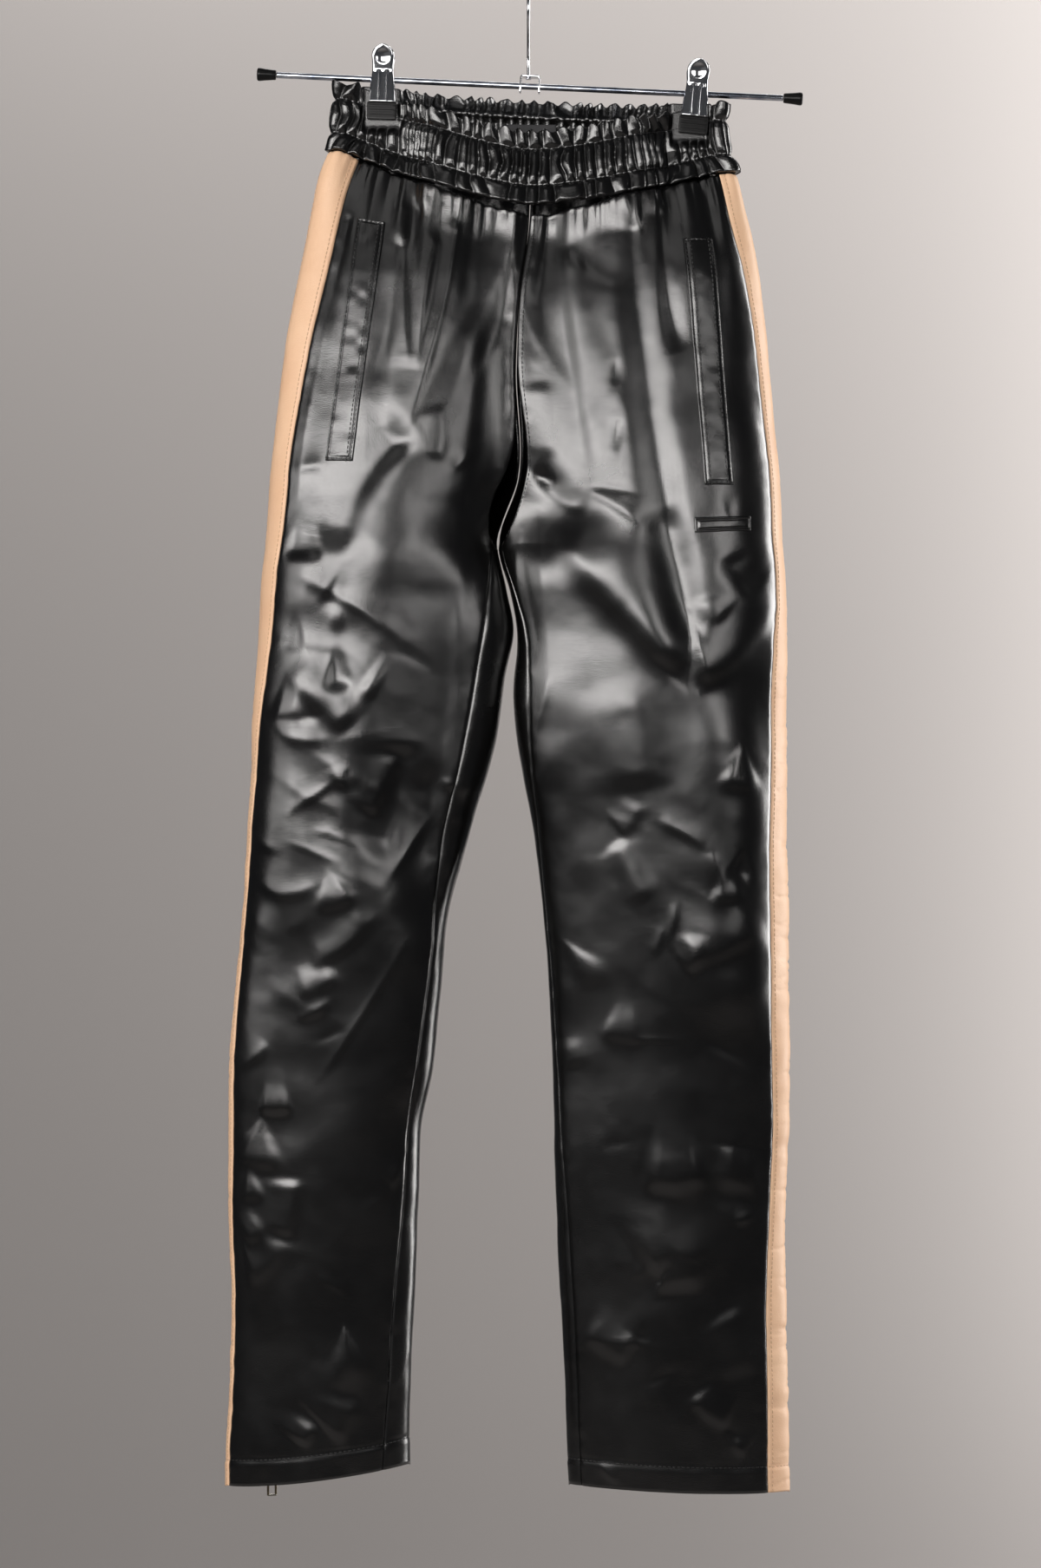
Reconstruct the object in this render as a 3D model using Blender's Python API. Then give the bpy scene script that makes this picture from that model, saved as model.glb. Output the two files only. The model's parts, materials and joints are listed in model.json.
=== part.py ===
"""Faux leather pull-on trousers with side stripes, held at the waist by a two-clip hanger.

The trousers hang flat and empty. Each half (hip and leg) is a tube around the points of a
rounded section, worked out from its outer and inner edge, its front and back depth and its
folds. Angles run around a section from its inner edge (0) over the front (positive) or the
back (negative) to its outer edge (180 degrees). Metres, +Z up, +X to the wearer's left,
front towards -Y. The origin is the point inside the hook's top that rests on the rail.
"""

import math
from collections import namedtuple

import bpy
import numpy as np
from mathutils import Matrix, Vector
from mathutils.bvhtree import BVHTree

MM = 0.001

# Walls and seams
WALL = 1.3 * MM
BAND_WALL = 1.2 * MM
GAP = 0.35 * MM
BAND_SEAM_GAP = 0.6 * MM

# Heights of the garment
BAND_TOP_RIGHT = -84.5 * MM
BAND_TOP_LEFT = -99.0 * MM
BAND_SEAM_RIGHT = -135.0 * MM
BAND_SEAM_LEFT = -150.5 * MM
WAIST = -145.0 * MM
SEAM_SAG_FRONT = 33.0 * MM
TOP_SAG_FRONT = 27.0 * MM
TOP_SAG_BACK = 1.5 * MM
HIP = -233.0 * MM
CROTCH = -425.0 * MM
ANKLE = -1035.0 * MM
HEM = -1119.0 * MM
STRIPE_WIDTH = 36.0 * MM

# Waistband
BAND_HALF = 143.0 * MM
PLEATS_PER_HALF = 19
PLEAT_HEIGHT = 2.8 * MM
BAND_END_ANGLE = 0.02
BAND_CALM_ANGLE = 0.12
CLAMP_DEPTH = 2.2 * MM
CLAMP_FLAT = 12.5 * MM
CLAMP_REACH = 30.0 * MM
CLAMP_FADE = 95.0 * MM

# Hanger
TILT = math.radians(2.6)
ROD_RADIUS = 2.25 * MM
ROD_MIDDLE = Vector((0.5, 0.0, -85.6)) * MM
ROD_LENGTH = 374.0 * MM
CAP_LENGTH = 14.0 * MM
CAP_RADII = (3.6 * MM, 4.8 * MM)
WIRE_RADIUS = 1.15 * MM
RAIL_RADIUS = 24.5 * MM
SHANK_X = -0.6 * MM
HEAD_RADIUS = 2.0 * MM
HEAD_LENGTH = 0.9 * MM
BRACKET_WIDTH = 15.0 * MM
BRACKET_DEPTH = 8.0 * MM
BRACKET_SHEET = 1.3 * MM
BRACKET_RISE = 8.0 * MM
BRACKET_DROP = 4.6 * MM
JAW_SIZE = Vector((21.8, 3.4, 15.4)) * MM
PLATE_SHEET = 1.0 * MM
SPRING_RADII = (2.6 * MM, 3.7 * MM)
SPRING_LENGTH = 9.0 * MM

Section = namedtuple("Section", "z outer inner inseam stripe")
# One row a section, in mm: height, outer edge, inner edge (the centre seam above the crotch),
# how far the inseam lies in from the inner edge, and how much of the stripe shows in front.
RIGHT_SIDE = [
    Section(-84.5, -140.0, 1.0, 0.0, 23.0),
    Section(-135.7, -148.5, 1.0, 0.0, 24.5),
    Section(-151.7, -154.5, 1.0, 0.0, 25.5),
    Section(-184.3, -162.0, 0.0, 0.0, 23.5),
    Section(-233.0, -171.5, -6.5, 0.0, 21.5),
    Section(-287.4, -180.5, -9.5, 0.0, 18.5),
    Section(-370.6, -190.0, -8.0, 0.0, 14.5),
    Section(-425.0, -194.5, -23.0, 0.0, 14.0),
    Section(-457.0, -198.0, -16.5, 12.0, 14.0),
    Section(-485.8, -200.0, -11.5, 21.0, 12.5),
    Section(-527.4, -202.5, -18.5, 20.0, 10.0),
    Section(-572.8, -204.0, -26.0, 20.5, 6.5),
    Section(-636.2, -207.5, -43.0, 16.5, 4.5),
    Section(-693.8, -212.0, -59.0, 8.5, 3.5),
    Section(-751.4, -217.0, -65.5, 9.0, 3.5),
    Section(-809.0, -221.0, -70.5, 11.5, 4.0),
    Section(-853.8, -222.5, -78.5, 9.0, 4.0),
    Section(-905.0, -222.0, -80.5, 10.5, 3.5),
    Section(-981.8, -220.0, -85.0, 14.0, 3.0),
    Section(-1045.8, -221.5, -87.5, 15.5, 3.0),
    Section(-1119.4, -223.5, -87.0, 20.0, 3.0),
]
LEFT_SIDE = [
    Section(-84.5, 142.5, 1.0, 0.0, 13.0),
    Section(-135.7, 147.0, 1.0, 0.0, 12.0),
    Section(-151.7, 152.5, 1.0, 0.0, 13.0),
    Section(-184.3, 160.5, 0.0, 0.0, 13.5),
    Section(-233.0, 170.0, -6.5, 0.0, 12.0),
    Section(-287.4, 176.5, -9.5, 0.0, 10.0),
    Section(-370.6, 184.0, -8.0, 0.0, 10.0),
    Section(-425.0, 186.5, -23.0, 0.0, 10.0),
    Section(-457.0, 188.5, -14.5, 3.0, 9.5),
    Section(-485.8, 189.0, -9.0, 6.0, 10.5),
    Section(-527.4, 190.0, -12.0, 11.5, 12.5),
    Section(-572.8, 190.5, -8.0, 9.0, 13.5),
    Section(-636.2, 190.5, 3.0, 3.5, 15.5),
    Section(-693.8, 191.5, 10.0, 2.0, 16.0),
    Section(-751.4, 191.5, 14.0, 2.5, 15.0),
    Section(-809.0, 191.5, 17.0, 3.5, 13.5),
    Section(-853.8, 191.5, 18.5, 5.0, 12.5),
    Section(-905.0, 190.0, 19.0, 8.0, 13.0),
    Section(-981.8, 190.0, 23.0, 9.5, 16.0),
    Section(-1045.8, 190.5, 26.5, 9.0, 16.0),
    Section(-1119.4, 192.0, 30.0, 8.5, 17.0),
]
SIDES = {"right": RIGHT_SIDE, "left": LEFT_SIDE}
SIGN = {"right": -1.0, "left": 1.0}

Depth = namedtuple("Depth", "z front back blunt")
# Front and back half depth of a section in mm, and the power that rounds it: below 1 is blunt.
DEPTHS = [
    Depth(-84.5, 20.0, 13.5, 0.66),
    Depth(-151.7, 25.0, 17.0, 0.66),
    Depth(-184.3, 31.0, 24.0, 0.75),
    Depth(-233.0, 38.0, 33.0, 0.85),
    Depth(-329.0, 45.0, 44.0, 0.95),
    Depth(-425.0, 48.0, 50.0, 1.0),
    Depth(-572.8, 46.0, 47.0, 1.0),
    Depth(-720.0, 40.0, 41.0, 1.0),
    Depth(-853.8, 34.0, 37.0, 1.0),
    Depth(-1119.4, 27.0, 30.0, 1.0),
]

Fold = namedtuple("Fold", "x0 z0 x1 z1 x2 z2 width height")
# One row a fold, in mm: start, middle and end seen from the front, half width, and height
# (below zero for a trough). It fades in and out along its length.
FRONT_FOLDS = [
    Fold(-116, -150, -122, -200, -132, -262, 8, 3.9),
    Fold(-96, -152, -98, -205, -108, -250, 7, -3.9),
    Fold(-56, -160, -60, -228, -82, -318, 8, 4.8),
    Fold(-34, -168, -42, -228, -54, -290, 8, 4.5),
    Fold(-8, -172, -12, -232, -11, -278, 6, 3.6),
    Fold(22, -170, 26, -272, 32, -370, 9, -4.5),
    Fold(56, -168, 58, -240, 62, -320, 11, 4.2),
    Fold(92, -160, 94, -220, 98, -280, 8, -3.6),
    Fold(118, -158, 124, -210, 132, -262, 8, 3.6),
    Fold(-166, -446, -132, -472, -94, -494, 9, -4.2),
    Fold(-182, -516, -150, -552, -128, -562, 9, -3.9),
    Fold(-52, -398, -60, -520, -64, -590, 14, 3.9),
    Fold(-16, -412, -6, -460, -2, -508, 9, 3.9),
    Fold(56, -470, 118, -522, 168, -480, 13, -3.9),
    Fold(-200, -668, -176, -688, -154, -668, 9, -3.6),
    Fold(-164, -730, -128, -708, -100, -672, 10, -4.5),
    Fold(-152, -812, -112, -756, -86, -700, 10, -3.6),
    Fold(-214, -846, -194, -842, -168, -842, 9, -3.9),
    Fold(-206, -932, -196, -948, -188, -960, 10, 3.0),
    Fold(60, -640, 110, -664, 160, -640, 12, -3.3),
    Fold(44, -744, 88, -770, 128, -742, 10, -3.6),
    Fold(76, -872, 110, -884, 146, -876, 10, 3.3),
    Fold(40, -1014, 62, -1004, 82, -996, 10, 3.0),
]
BACK_FOLDS = [
    Fold(-112, -150, -118, -206, -128, -270, 9, 3.9),
    Fold(-70, -146, -74, -210, -86, -290, 9, 4.2),
    Fold(-30, -146, -32, -200, -40, -262, 8, 3.3),
    Fold(28, -148, 32, -214, 40, -280, 9, 3.9),
    Fold(72, -152, 78, -220, 88, -300, 9, 4.2),
    Fold(112, -154, 120, -214, 132, -272, 9, 3.6),
    Fold(-150, -452, -108, -476, -62, -470, 11, -4.5),
    Fold(-158, -500, -114, -530, -70, -520, 11, -3.9),
    Fold(150, -448, 108, -478, 52, -472, 11, -4.5),
    Fold(156, -506, 104, -530, 54, -516, 11, -3.6),
    Fold(-196, -700, -146, -724, -96, -704, 10, -4.5),
    Fold(-202, -752, -152, -766, -100, -744, 10, -3.9),
    Fold(-204, -806, -154, -822, -106, -806, 10, -3.9),
    Fold(168, -704, 110, -722, 50, -700, 10, -4.5),
    Fold(170, -752, 108, -772, 50, -750, 10, -3.9),
    Fold(166, -806, 112, -824, 56, -806, 10, -3.9),
    Fold(-186, -966, -156, -978, -128, -968, 11, -3.0),
    Fold(150, -972, 112, -986, 70, -974, 11, -3.0),
]

# Columns of each panel between its seams, and the level rows below the crotch in mm
FRONT_COLUMNS = 12
BACK_COLUMNS = 10
STRIPE_COLUMNS = 3
HIP_ROWS = 3
CROTCH_ROWS = 7
LEG_ROWS = [
    -443, -462, -482, -504, -527, -552, -580, -608, -636, -660, -680, -699, -718, -738, -760,
    -784, -808, -828, -846, -864, -888, -914, -942, -968, -1000, -1035, -1076, -1119,
]
BAND_ROWS = [0.0, 0.12, 0.24, 0.48, 0.72, 1.0]
BAND_PLEAT_SHARE = [1.0, 0.8, 0.25, 0.75, 0.25, 0.7]

Corner = namedtuple("Corner", "x z")
# Corners of each pocket welt in mm, seen from the front: top outer, top inner, lower outer,
# lower inner.
WELTS = {
    "right": (Corner(-126, -183), Corner(-105.5, -185), Corner(-148.5, -363.5), Corner(-128.5, -363.5)),
    "left": (Corner(136.5, -200), Corner(114, -201), Corner(150, -382), Corner(129.5, -382)),
}
WELT_RISE = 1.3 * MM
PATCH = (Corner(161.5, -403.2), Corner(122, -404.8), Corner(161.5, -414), Corner(122.5, -416))
PATCH_RISE = 1.0 * MM
PATCH_BORDER = 0.5 * MM
LABEL_WIDTH = 40.0 * MM
LABEL_HEIGHT = 15.0 * MM
LABEL_TOP = -111.0 * MM

# Ankle zip, in the back panel behind the stripe's back seam
ZIP_SETBACK = 17.0 * MM
ZIP_WIDTH = 6.0 * MM
ZIP_LENGTH = 150.0 * MM
ZIP_RISE = 1.2 * MM
SLIDER_SIZE = Vector((8.4, 3.2, 11.0)) * MM
SLIDER_LIFT = {"right": 2.6 * MM, "left": 22.0 * MM}
PULL_WIRE = 0.8 * MM
PULL_REACH = 1.5 * MM
BAIL_RADII = (1.25 * MM, 2.0 * MM)
BAIL_WIDTH = 1.8 * MM
# Edges of the pull's plate and of its two windows in mm: across, and up from its axis
PULL_ACROSS = [-3.7, -2.1, -1.25, 1.25, 2.1, 3.7]
PULL_UP = [0.8, -0.8, -4.0, -11.0, -18.4, -20.0]
PULL_EMPTY = {(1, 2), (3, 1), (3, 2), (3, 3)}

Finish = namedtuple("Finish", "colour roughness metallic")
FINISHES = {
    "black_cloth": Finish((0.012, 0.011, 0.011), 0.33, 0.0),
    "tan_cloth": Finish((0.74, 0.44, 0.28), 0.5, 0.0),
    "chrome": Finish((0.80, 0.80, 0.82), 0.15, 1.0),
    "rubber": Finish((0.02, 0.02, 0.02), 0.65, 0.0),
    "zip_metal": Finish((0.35, 0.30, 0.22), 0.35, 1.0),
    "label_cloth": Finish((0.03, 0.03, 0.035), 0.8, 0.0),
}


def clear_scene():
    for obj in list(bpy.data.objects):
        bpy.data.objects.remove(obj, do_unlink=True)


def material(name):
    """The shared Principled material of a finish."""
    found = bpy.data.materials.get(name)
    if found:
        return found
    finish = FINISHES[name]
    made = bpy.data.materials.new(name)
    made.use_nodes = True
    shader = made.node_tree.nodes["Principled BSDF"]
    shader.inputs["Base Color"].default_value = (*finish.colour, 1.0)
    shader.inputs["Roughness"].default_value = finish.roughness
    shader.inputs["Metallic"].default_value = finish.metallic
    return made


def add_object(name, points, faces, finish, crease_angle=40.0):
    """A named mesh object, shaded smooth but for its sharp edges."""
    mesh = bpy.data.meshes.new(name)
    mesh.from_pydata([tuple(map(float, point)) for point in points], [], faces)
    mesh.materials.append(material(finish))
    mesh.shade_smooth()
    mesh.set_sharp_from_angle(angle=math.radians(crease_angle))
    mesh.update()
    obj = bpy.data.objects.new(name, mesh)
    bpy.context.scene.collection.objects.link(obj)
    return obj


# ---------------------------------------------------------------- garment form


def smooth_value(rows, column, z):
    """A table's column at height z (m), on a cubic through its rows; rows are in mm."""
    heights = np.array([row.z for row in rows]) * MM
    values = np.array([getattr(row, column) for row in rows], dtype=float)
    slopes = np.gradient(values, heights)
    z = np.clip(z, heights[-1], heights[0])
    index = np.clip(np.searchsorted(-heights, -z, side="right") - 1, 0, len(rows) - 2)
    span = heights[index + 1] - heights[index]
    t = (z - heights[index]) / span
    blend = (2 * t**3 - 3 * t**2 + 1) * values[index] + (3 * t**2 - 2 * t**3) * values[index + 1]
    slope = (t**3 - 2 * t**2 + t) * slopes[index] + (t**3 - t**2) * slopes[index + 1]
    return blend + slope * span


def fade(distance, flat, reach):
    """1 within flat, falling softly to 0 over reach."""
    return np.cos(np.clip((np.abs(distance) - flat) / reach, 0, 1) * math.pi / 2) ** 2


def seam_cosine(z):
    """Cosine of the angle at which a section meets the centre seam: 0 at the hip, 1 below."""
    drop = np.clip((HIP - z) / (HIP - CROTCH), 0, 1)
    return drop**2


def section(side, z):
    """Middle and half width of one side's section at height z."""
    outer = smooth_value(SIDES[side], "outer", z) * MM
    inner = smooth_value(SIDES[side], "inner", z) * MM
    cosine = seam_cosine(z)
    inner = inner + SIGN[side] * GAP / 2 * (2 - np.sqrt(1 - cosine**2))
    half = np.abs(outer - inner) / (1 + cosine)
    return outer - SIGN[side] * half, half


def fold_height(folds, x, z):
    """Sum of the folds at the points x, z: each is a soft bump across a curved line."""
    total = np.zeros(np.shape(x))
    for fold in folds:
        nearest = np.full(np.shape(x), 1e9)
        along = np.zeros(np.shape(x))
        for t in np.linspace(0, 1, 17):
            line_x = ((1 - t) ** 2 * fold.x0 + 2 * t * (1 - t) * fold.x1 + t**2 * fold.x2) * MM
            line_z = ((1 - t) ** 2 * fold.z0 + 2 * t * (1 - t) * fold.z1 + t**2 * fold.z2) * MM
            distance = (x - line_x) ** 2 + (z - line_z) ** 2
            along = np.where(distance < nearest, t, along)
            nearest = np.minimum(nearest, distance)
        ends = np.sin(np.clip(along * 0.86 + 0.1, 0, 1) * math.pi) ** 0.7
        total += fold.height * MM * ends * np.exp(-nearest / (2 * (fold.width * MM) ** 2))
    return total


def clamp_weight(x, z):
    """How far the clips press the cloth flat at x, z."""
    below = np.clip((BAND_SEAM_RIGHT - z) / CLAMP_FADE, 0, 1)
    weight = np.zeros(np.shape(x))
    for clip in CLIPS.values():
        weight = np.maximum(weight, fade(x - clip.jaw_x, CLAMP_FLAT, CLAMP_REACH))
    return weight * (1 - below) ** 2


def garment_point(side, angle, z):
    """Points of one side's outer surface, as an array ending in x, y, z."""
    middle, half = section(side, z)
    x = middle - SIGN[side] * half * np.cos(angle)
    front = angle > 0
    depth = np.where(front, smooth_value(DEPTHS, "front", z), smooth_value(DEPTHS, "back", z))
    blunt = smooth_value(DEPTHS, "blunt", z)
    rise = depth * MM * np.abs(np.sin(angle)) ** blunt
    weight = clamp_weight(x, z)
    pressed = CLAMP_DEPTH * np.tanh(rise / CLAMP_DEPTH)
    rise = rise * (1 - weight) + pressed * weight
    bump = np.where(front, fold_height(FRONT_FOLDS, x, z), fold_height(BACK_FOLDS, x, z))
    edge = np.abs(np.sin(angle))
    bump = bump * edge * (1 - weight)
    return np.stack([x, np.where(front, -1, 1) * (rise + bump), z], axis=-1)


def garment_normal(side, angle, z):
    """Unit normals pointing out of the garment, from the form's slopes."""
    turn = 0.02
    step = 1.5 * MM
    around = garment_point(side, angle + turn, z) - garment_point(side, angle - turn, z)
    down = garment_point(side, angle, z - step) - garment_point(side, angle, z + step)
    normal = np.cross(around, down) * -SIGN[side]
    return normal / np.linalg.norm(normal, axis=-1, keepdims=True)


def line_height(x, right, left, sag):
    """Height of a waist line at x: straight between the sides with a sag in the middle."""
    share = np.clip(np.abs(x) / BAND_HALF, 0, 1)
    straight = right + (left - right) * (x + BAND_HALF) / (2 * BAND_HALF)
    return straight - sag * (1 - share**1.5) ** 1.2


def waist_x(side, angle):
    """Where a column of the garment starts at the waist, seen from the front."""
    middle, half = section(side, np.full(np.shape(angle), WAIST))
    return middle - SIGN[side] * half * np.cos(angle)


def waist_height(side, angle):
    """Height of the seam between waistband and panels."""
    sag = np.where(angle > 0, SEAM_SAG_FRONT, 0.0)
    return line_height(waist_x(side, angle), BAND_SEAM_RIGHT, BAND_SEAM_LEFT, sag)


def top_height(side, angle):
    """Height of the waistband's top edge."""
    sag = np.where(angle > 0, TOP_SAG_FRONT, TOP_SAG_BACK)
    return line_height(waist_x(side, angle), BAND_TOP_RIGHT, BAND_TOP_LEFT, sag)


def hem_drop(side, x):
    """How far the hem lies below its level row, from its slant."""
    if side == "right":
        share = np.clip((x + 223.5 * MM) / (136.5 * MM), 0, 1)
        return (-1.0 - 16.0 * share**1.5) * MM
    share = np.clip((x - 30.0 * MM) / (162.0 * MM), 0, 1)
    return (-2.2 + 5.6 * np.sin(share * 0.6 * math.pi)) * MM


def level_rows():
    """Heights of the rows at the middle of a side, from the waist to the hem."""
    hip = [("hip", share) for share in np.linspace(0, 1, HIP_ROWS + 1)[:-1]]
    crotch = []
    for turn in np.linspace(math.pi / 2, 0, CROTCH_ROWS + 1):
        crotch.append(("level", HIP - (HIP - CROTCH) * math.sqrt(max(math.cos(turn), 0))))
    legs = [("level", height * MM) for height in LEG_ROWS]
    return hip + crotch + legs


def row_height(side, angle, row):
    """Heights of one row's points."""
    kind, value = row
    if kind == "hip":
        top = waist_height(side, angle) - BAND_SEAM_GAP / 2
        return top + (HIP - top) * value
    height = np.full(np.shape(angle), float(value))
    share = np.clip((ANKLE - height) / (ANKLE - HEM), 0, 1)
    middle, half = section(side, height)
    return height - hem_drop(side, middle - SIGN[side] * half * np.cos(angle)) * share


def arc_angle(side, z, start, length):
    """The angle that lies length along the section from start, going towards the back."""
    turns = np.linspace(0, 2.6, 260)
    angles = start + turns
    wrapped = np.where(angles > math.pi, angles - 2 * math.pi, angles)
    points = garment_point(side, wrapped, np.full(angles.shape, z))
    steps = np.linalg.norm(np.diff(points, axis=0), axis=1)
    arc = np.concatenate([[0], np.cumsum(steps)])
    return start + np.interp(length, arc, turns)


def seam_angles(side, level):
    """Angles of the four seams of a section: front inner, stripe front, stripe back, back inner."""
    half = float(section(side, np.array(level))[1])
    cosine = float(seam_cosine(np.array(level)))
    inseam = float(smooth_value(SIDES[side], "inseam", np.array(level))) * MM
    inseam_angle = math.acos(1 - min(max(inseam, 0), half) / half)
    below = level < CROTCH - 1e-6
    start = inseam_angle if below else math.acos(cosine)
    stripe = float(smooth_value(SIDES[side], "stripe", np.array(level))) * MM
    stripe_front = math.pi - math.acos(1 - stripe / half)
    stripe_back = arc_angle(side, level, stripe_front, STRIPE_WIDTH)
    end = 2 * math.pi + (inseam_angle if below else -start)
    return start, stripe_front, stripe_back, end


def inset(side, angle, z, toward):
    """An angle moved half a seam gap along the surface, towards a panel's own side."""
    turn = 0.01
    wrapped = angle - 2 * math.pi if angle > math.pi else angle
    near = garment_point(side, np.array([wrapped - turn, wrapped + turn]), np.array([z, z]))
    speed = np.linalg.norm(near[1] - near[0]) / (2 * turn)
    return angle + toward * GAP / 2 / max(speed, 1e-4)


def panel_grid(side, first, last, columns):
    """Angles and heights of a panel's points between two of its side's seams."""
    angles = []
    heights = []
    for row in level_rows():
        level = row[1] if row[0] == "level" else WAIST + (HIP - WAIST) * row[1]
        seams = seam_angles(side, level)
        start = inset(side, seams[first], level, 1)
        end = inset(side, seams[last], level, -1)
        line = np.linspace(start, end, columns + 1)
        wrapped = np.where(line > math.pi, line - 2 * math.pi, line)
        angles.append(wrapped)
        heights.append(row_height(side, wrapped, row))
    return np.array(angles), np.array(heights)


def wall_from(outer, inner):
    """Points and triangles of a closed wall between two grids of the same size.

    Both faces split their quads along the same diagonal, so a bent quad keeps its thickness.
    """
    rows, columns = outer.shape[:2]
    points = np.concatenate([outer.reshape(-1, 3), inner.reshape(-1, 3)])
    shift = rows * columns
    faces = []
    for r in range(rows - 1):
        for c in range(columns - 1):
            a = r * columns + c
            for corners in ((a, a + columns, a + columns + 1), (a, a + columns + 1, a + 1)):
                faces.append(corners)
                faces.append(tuple(index + shift for index in reversed(corners)))
    border = [c for c in range(columns)]
    border += [r * columns + columns - 1 for r in range(1, rows)]
    border += [(rows - 1) * columns + c for c in range(columns - 2, -1, -1)]
    border += [r * columns for r in range(rows - 2, 0, -1)]
    for here, there in zip(border, border[1:] + border[:1]):
        faces.append((here, there, there + shift))
        faces.append((here, there + shift, here + shift))
    return points, faces


def facing_out(points, faces):
    """The faces, turned over where the solid they enclose would be inside out."""
    volume = 0.0
    for face in faces:
        first = points[face[0]]
        for b, c in zip(face[1:-1], face[2:]):
            volume += np.dot(first, np.cross(points[b], points[c]))
    return faces if volume > 0 else [tuple(reversed(face)) for face in faces]


def add_wall(name, outer, inner, finish):
    points, faces = wall_from(outer, inner)
    return add_object(name, points, facing_out(points, faces), finish)


def build_panels():
    """Front, stripe and back of each side."""
    pieces = (
        ("front_panel", 0, 1, FRONT_COLUMNS, "black_cloth"),
        ("side_stripe", 1, 2, STRIPE_COLUMNS, "tan_cloth"),
        ("back_panel", 2, 3, BACK_COLUMNS, "black_cloth"),
    )
    made = {}
    for side in SIDES:
        for name, first, last, columns, finish in pieces:
            angles, heights = panel_grid(side, first, last, columns)
            outer = garment_point(side, angles, heights)
            inner = outer - garment_normal(side, angles, heights) * WALL
            made[f"{name}_{side}"] = add_wall(f"{name}_{side}", outer, inner, finish)
    return made


def pleat_wave(count, index):
    """Height share of each column of the gathers: peaks and valleys of uneven height."""
    peak = (index % 2 == 1).astype(float)
    uneven = 0.78 + 0.22 * np.sin(index * 1.7) * np.cos(index * 0.61 + count)
    return peak * uneven


def build_waistband():
    """Front and back waistband: gathers raised on the outside over a plain inside."""
    made = {}
    for face, turn in (("front", 1), ("back", -1)):
        sides, shares = [], []
        steps = PLEATS_PER_HALF * 2
        start = BAND_END_ANGLE
        for k in range(steps + 1):
            sides.append("right")
            shares.append(math.pi - start - (math.pi / 2 - start) * k / steps)
        for k in range(1, steps + 1):
            sides.append("left")
            shares.append(math.pi / 2 + (math.pi / 2 - start) * k / steps)
        columns = len(shares)
        outer = np.zeros((len(BAND_ROWS), columns, 3))
        inner = np.zeros_like(outer)
        wave = pleat_wave(turn, np.arange(columns))
        for side in SIDES:
            pick = np.array([name == side for name in sides])
            angle = np.array(shares)[pick] * turn
            top = top_height(side, angle)
            bottom = waist_height(side, angle) + BAND_SEAM_GAP / 2
            for r, share in enumerate(BAND_ROWS):
                z = top + (bottom - top) * share
                base = garment_point(side, angle, z)
                normal = garment_normal(side, angle, z)
                calm = 1 - clamp_weight(base[:, 0], z) ** 0.5
                ends = np.clip((math.pi - np.abs(angle) - start) / BAND_CALM_ANGLE, 0, 1)
                height = PLEAT_HEIGHT * BAND_PLEAT_SHARE[r] * wave[pick] * calm * ends
                outer[r, pick] = base + normal * height[:, None]
                inner[r, pick] = base - normal * BAND_WALL
        name = f"waistband_{face}"
        made[name] = add_wall(name, outer, inner, "black_cloth")
    return made


# ---------------------------------------------------------------- pieces on the panels


def surface_tree(obj):
    mesh = obj.data
    points = [vertex.co.copy() for vertex in mesh.vertices]
    return BVHTree.FromPolygons(points, [tuple(face.vertices) for face in mesh.polygons])


def seat(tree, x, z, reach):
    """The foremost y of the panel around x, z, so that what lies there clears its facets."""
    foremost = None
    for step_x in (-reach, 0, reach):
        for step_z in (-reach, 0, reach):
            hit = tree.ray_cast(Vector((x + step_x, -0.5, z + step_z)), Vector((0, 1, 0)))[0]
            if hit is not None and (foremost is None or hit.y < foremost):
                foremost = hit.y
    return foremost


def corner_grid(corners, columns, rows):
    """Points x, z between four corners, rows down."""
    top_out, top_in, low_out, low_in = corners
    grid = np.zeros((rows + 1, columns + 1, 2))
    for r in range(rows + 1):
        for c in range(columns + 1):
            down, across = r / rows, c / columns
            top = np.array(top_out) * (1 - across) + np.array(top_in) * across
            low = np.array(low_out) * (1 - across) + np.array(low_in) * across
            grid[r, c] = (top * (1 - down) + low * down) * MM
    return grid


def add_applied(name, panel, corners, cells, rise, reach, finish="black_cloth", border=0.0):
    """A flat piece on a front panel, made from the panel's points moved out."""
    tree = surface_tree(panel)
    columns, rows = cells
    grid = corner_grid(corners, columns, rows)
    inner = np.zeros((rows + 1, columns + 1, 3))
    outer = np.zeros_like(inner)
    for r in range(rows + 1):
        for c in range(columns + 1):
            x, z = grid[r, c]
            y = seat(tree, x, z, reach) - GAP
            edge = r in (0, rows) or c in (0, columns)
            inner[r, c] = (x, y, z)
            outer[r, c] = (x, y - rise - (border if edge else 0.0), z)
    return add_wall(name, outer, inner, finish)


def build_applied(panels):
    for side, corners in WELTS.items():
        panel = panels[f"front_panel_{side}"]
        add_applied(f"pocket_welt_{side}", panel, corners, (2, 14), WELT_RISE, 4.0 * MM)
    panel = panels["front_panel_left"]
    add_applied("thigh_patch", panel, PATCH, (6, 3), PATCH_RISE, 0.6 * MM, border=PATCH_BORDER)


def build_label(band):
    """The label on the inside of the back waistband."""
    tree = surface_tree(band)
    columns, rows = 6, 2
    outer = np.zeros((rows + 1, columns + 1, 3))
    inner = np.zeros_like(outer)
    for r in range(rows + 1):
        for c in range(columns + 1):
            x = (c / columns - 0.5) * LABEL_WIDTH
            z = LABEL_TOP - LABEL_HEIGHT * r / rows
            hits = []
            for step in (-3 * MM, 0, 3 * MM):
                hit = tree.ray_cast(Vector((x + step, -0.004, z)), Vector((0, 1, 0)))[0]
                hits.append(hit.y)
            outer[r, c] = (x, min(hits) - GAP, z)
            inner[r, c] = (x, min(hits) - GAP - 0.6 * MM, z)
    add_wall("inner_label", outer, inner, "label_cloth")


# ---------------------------------------------------------------- ankle zips


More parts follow.
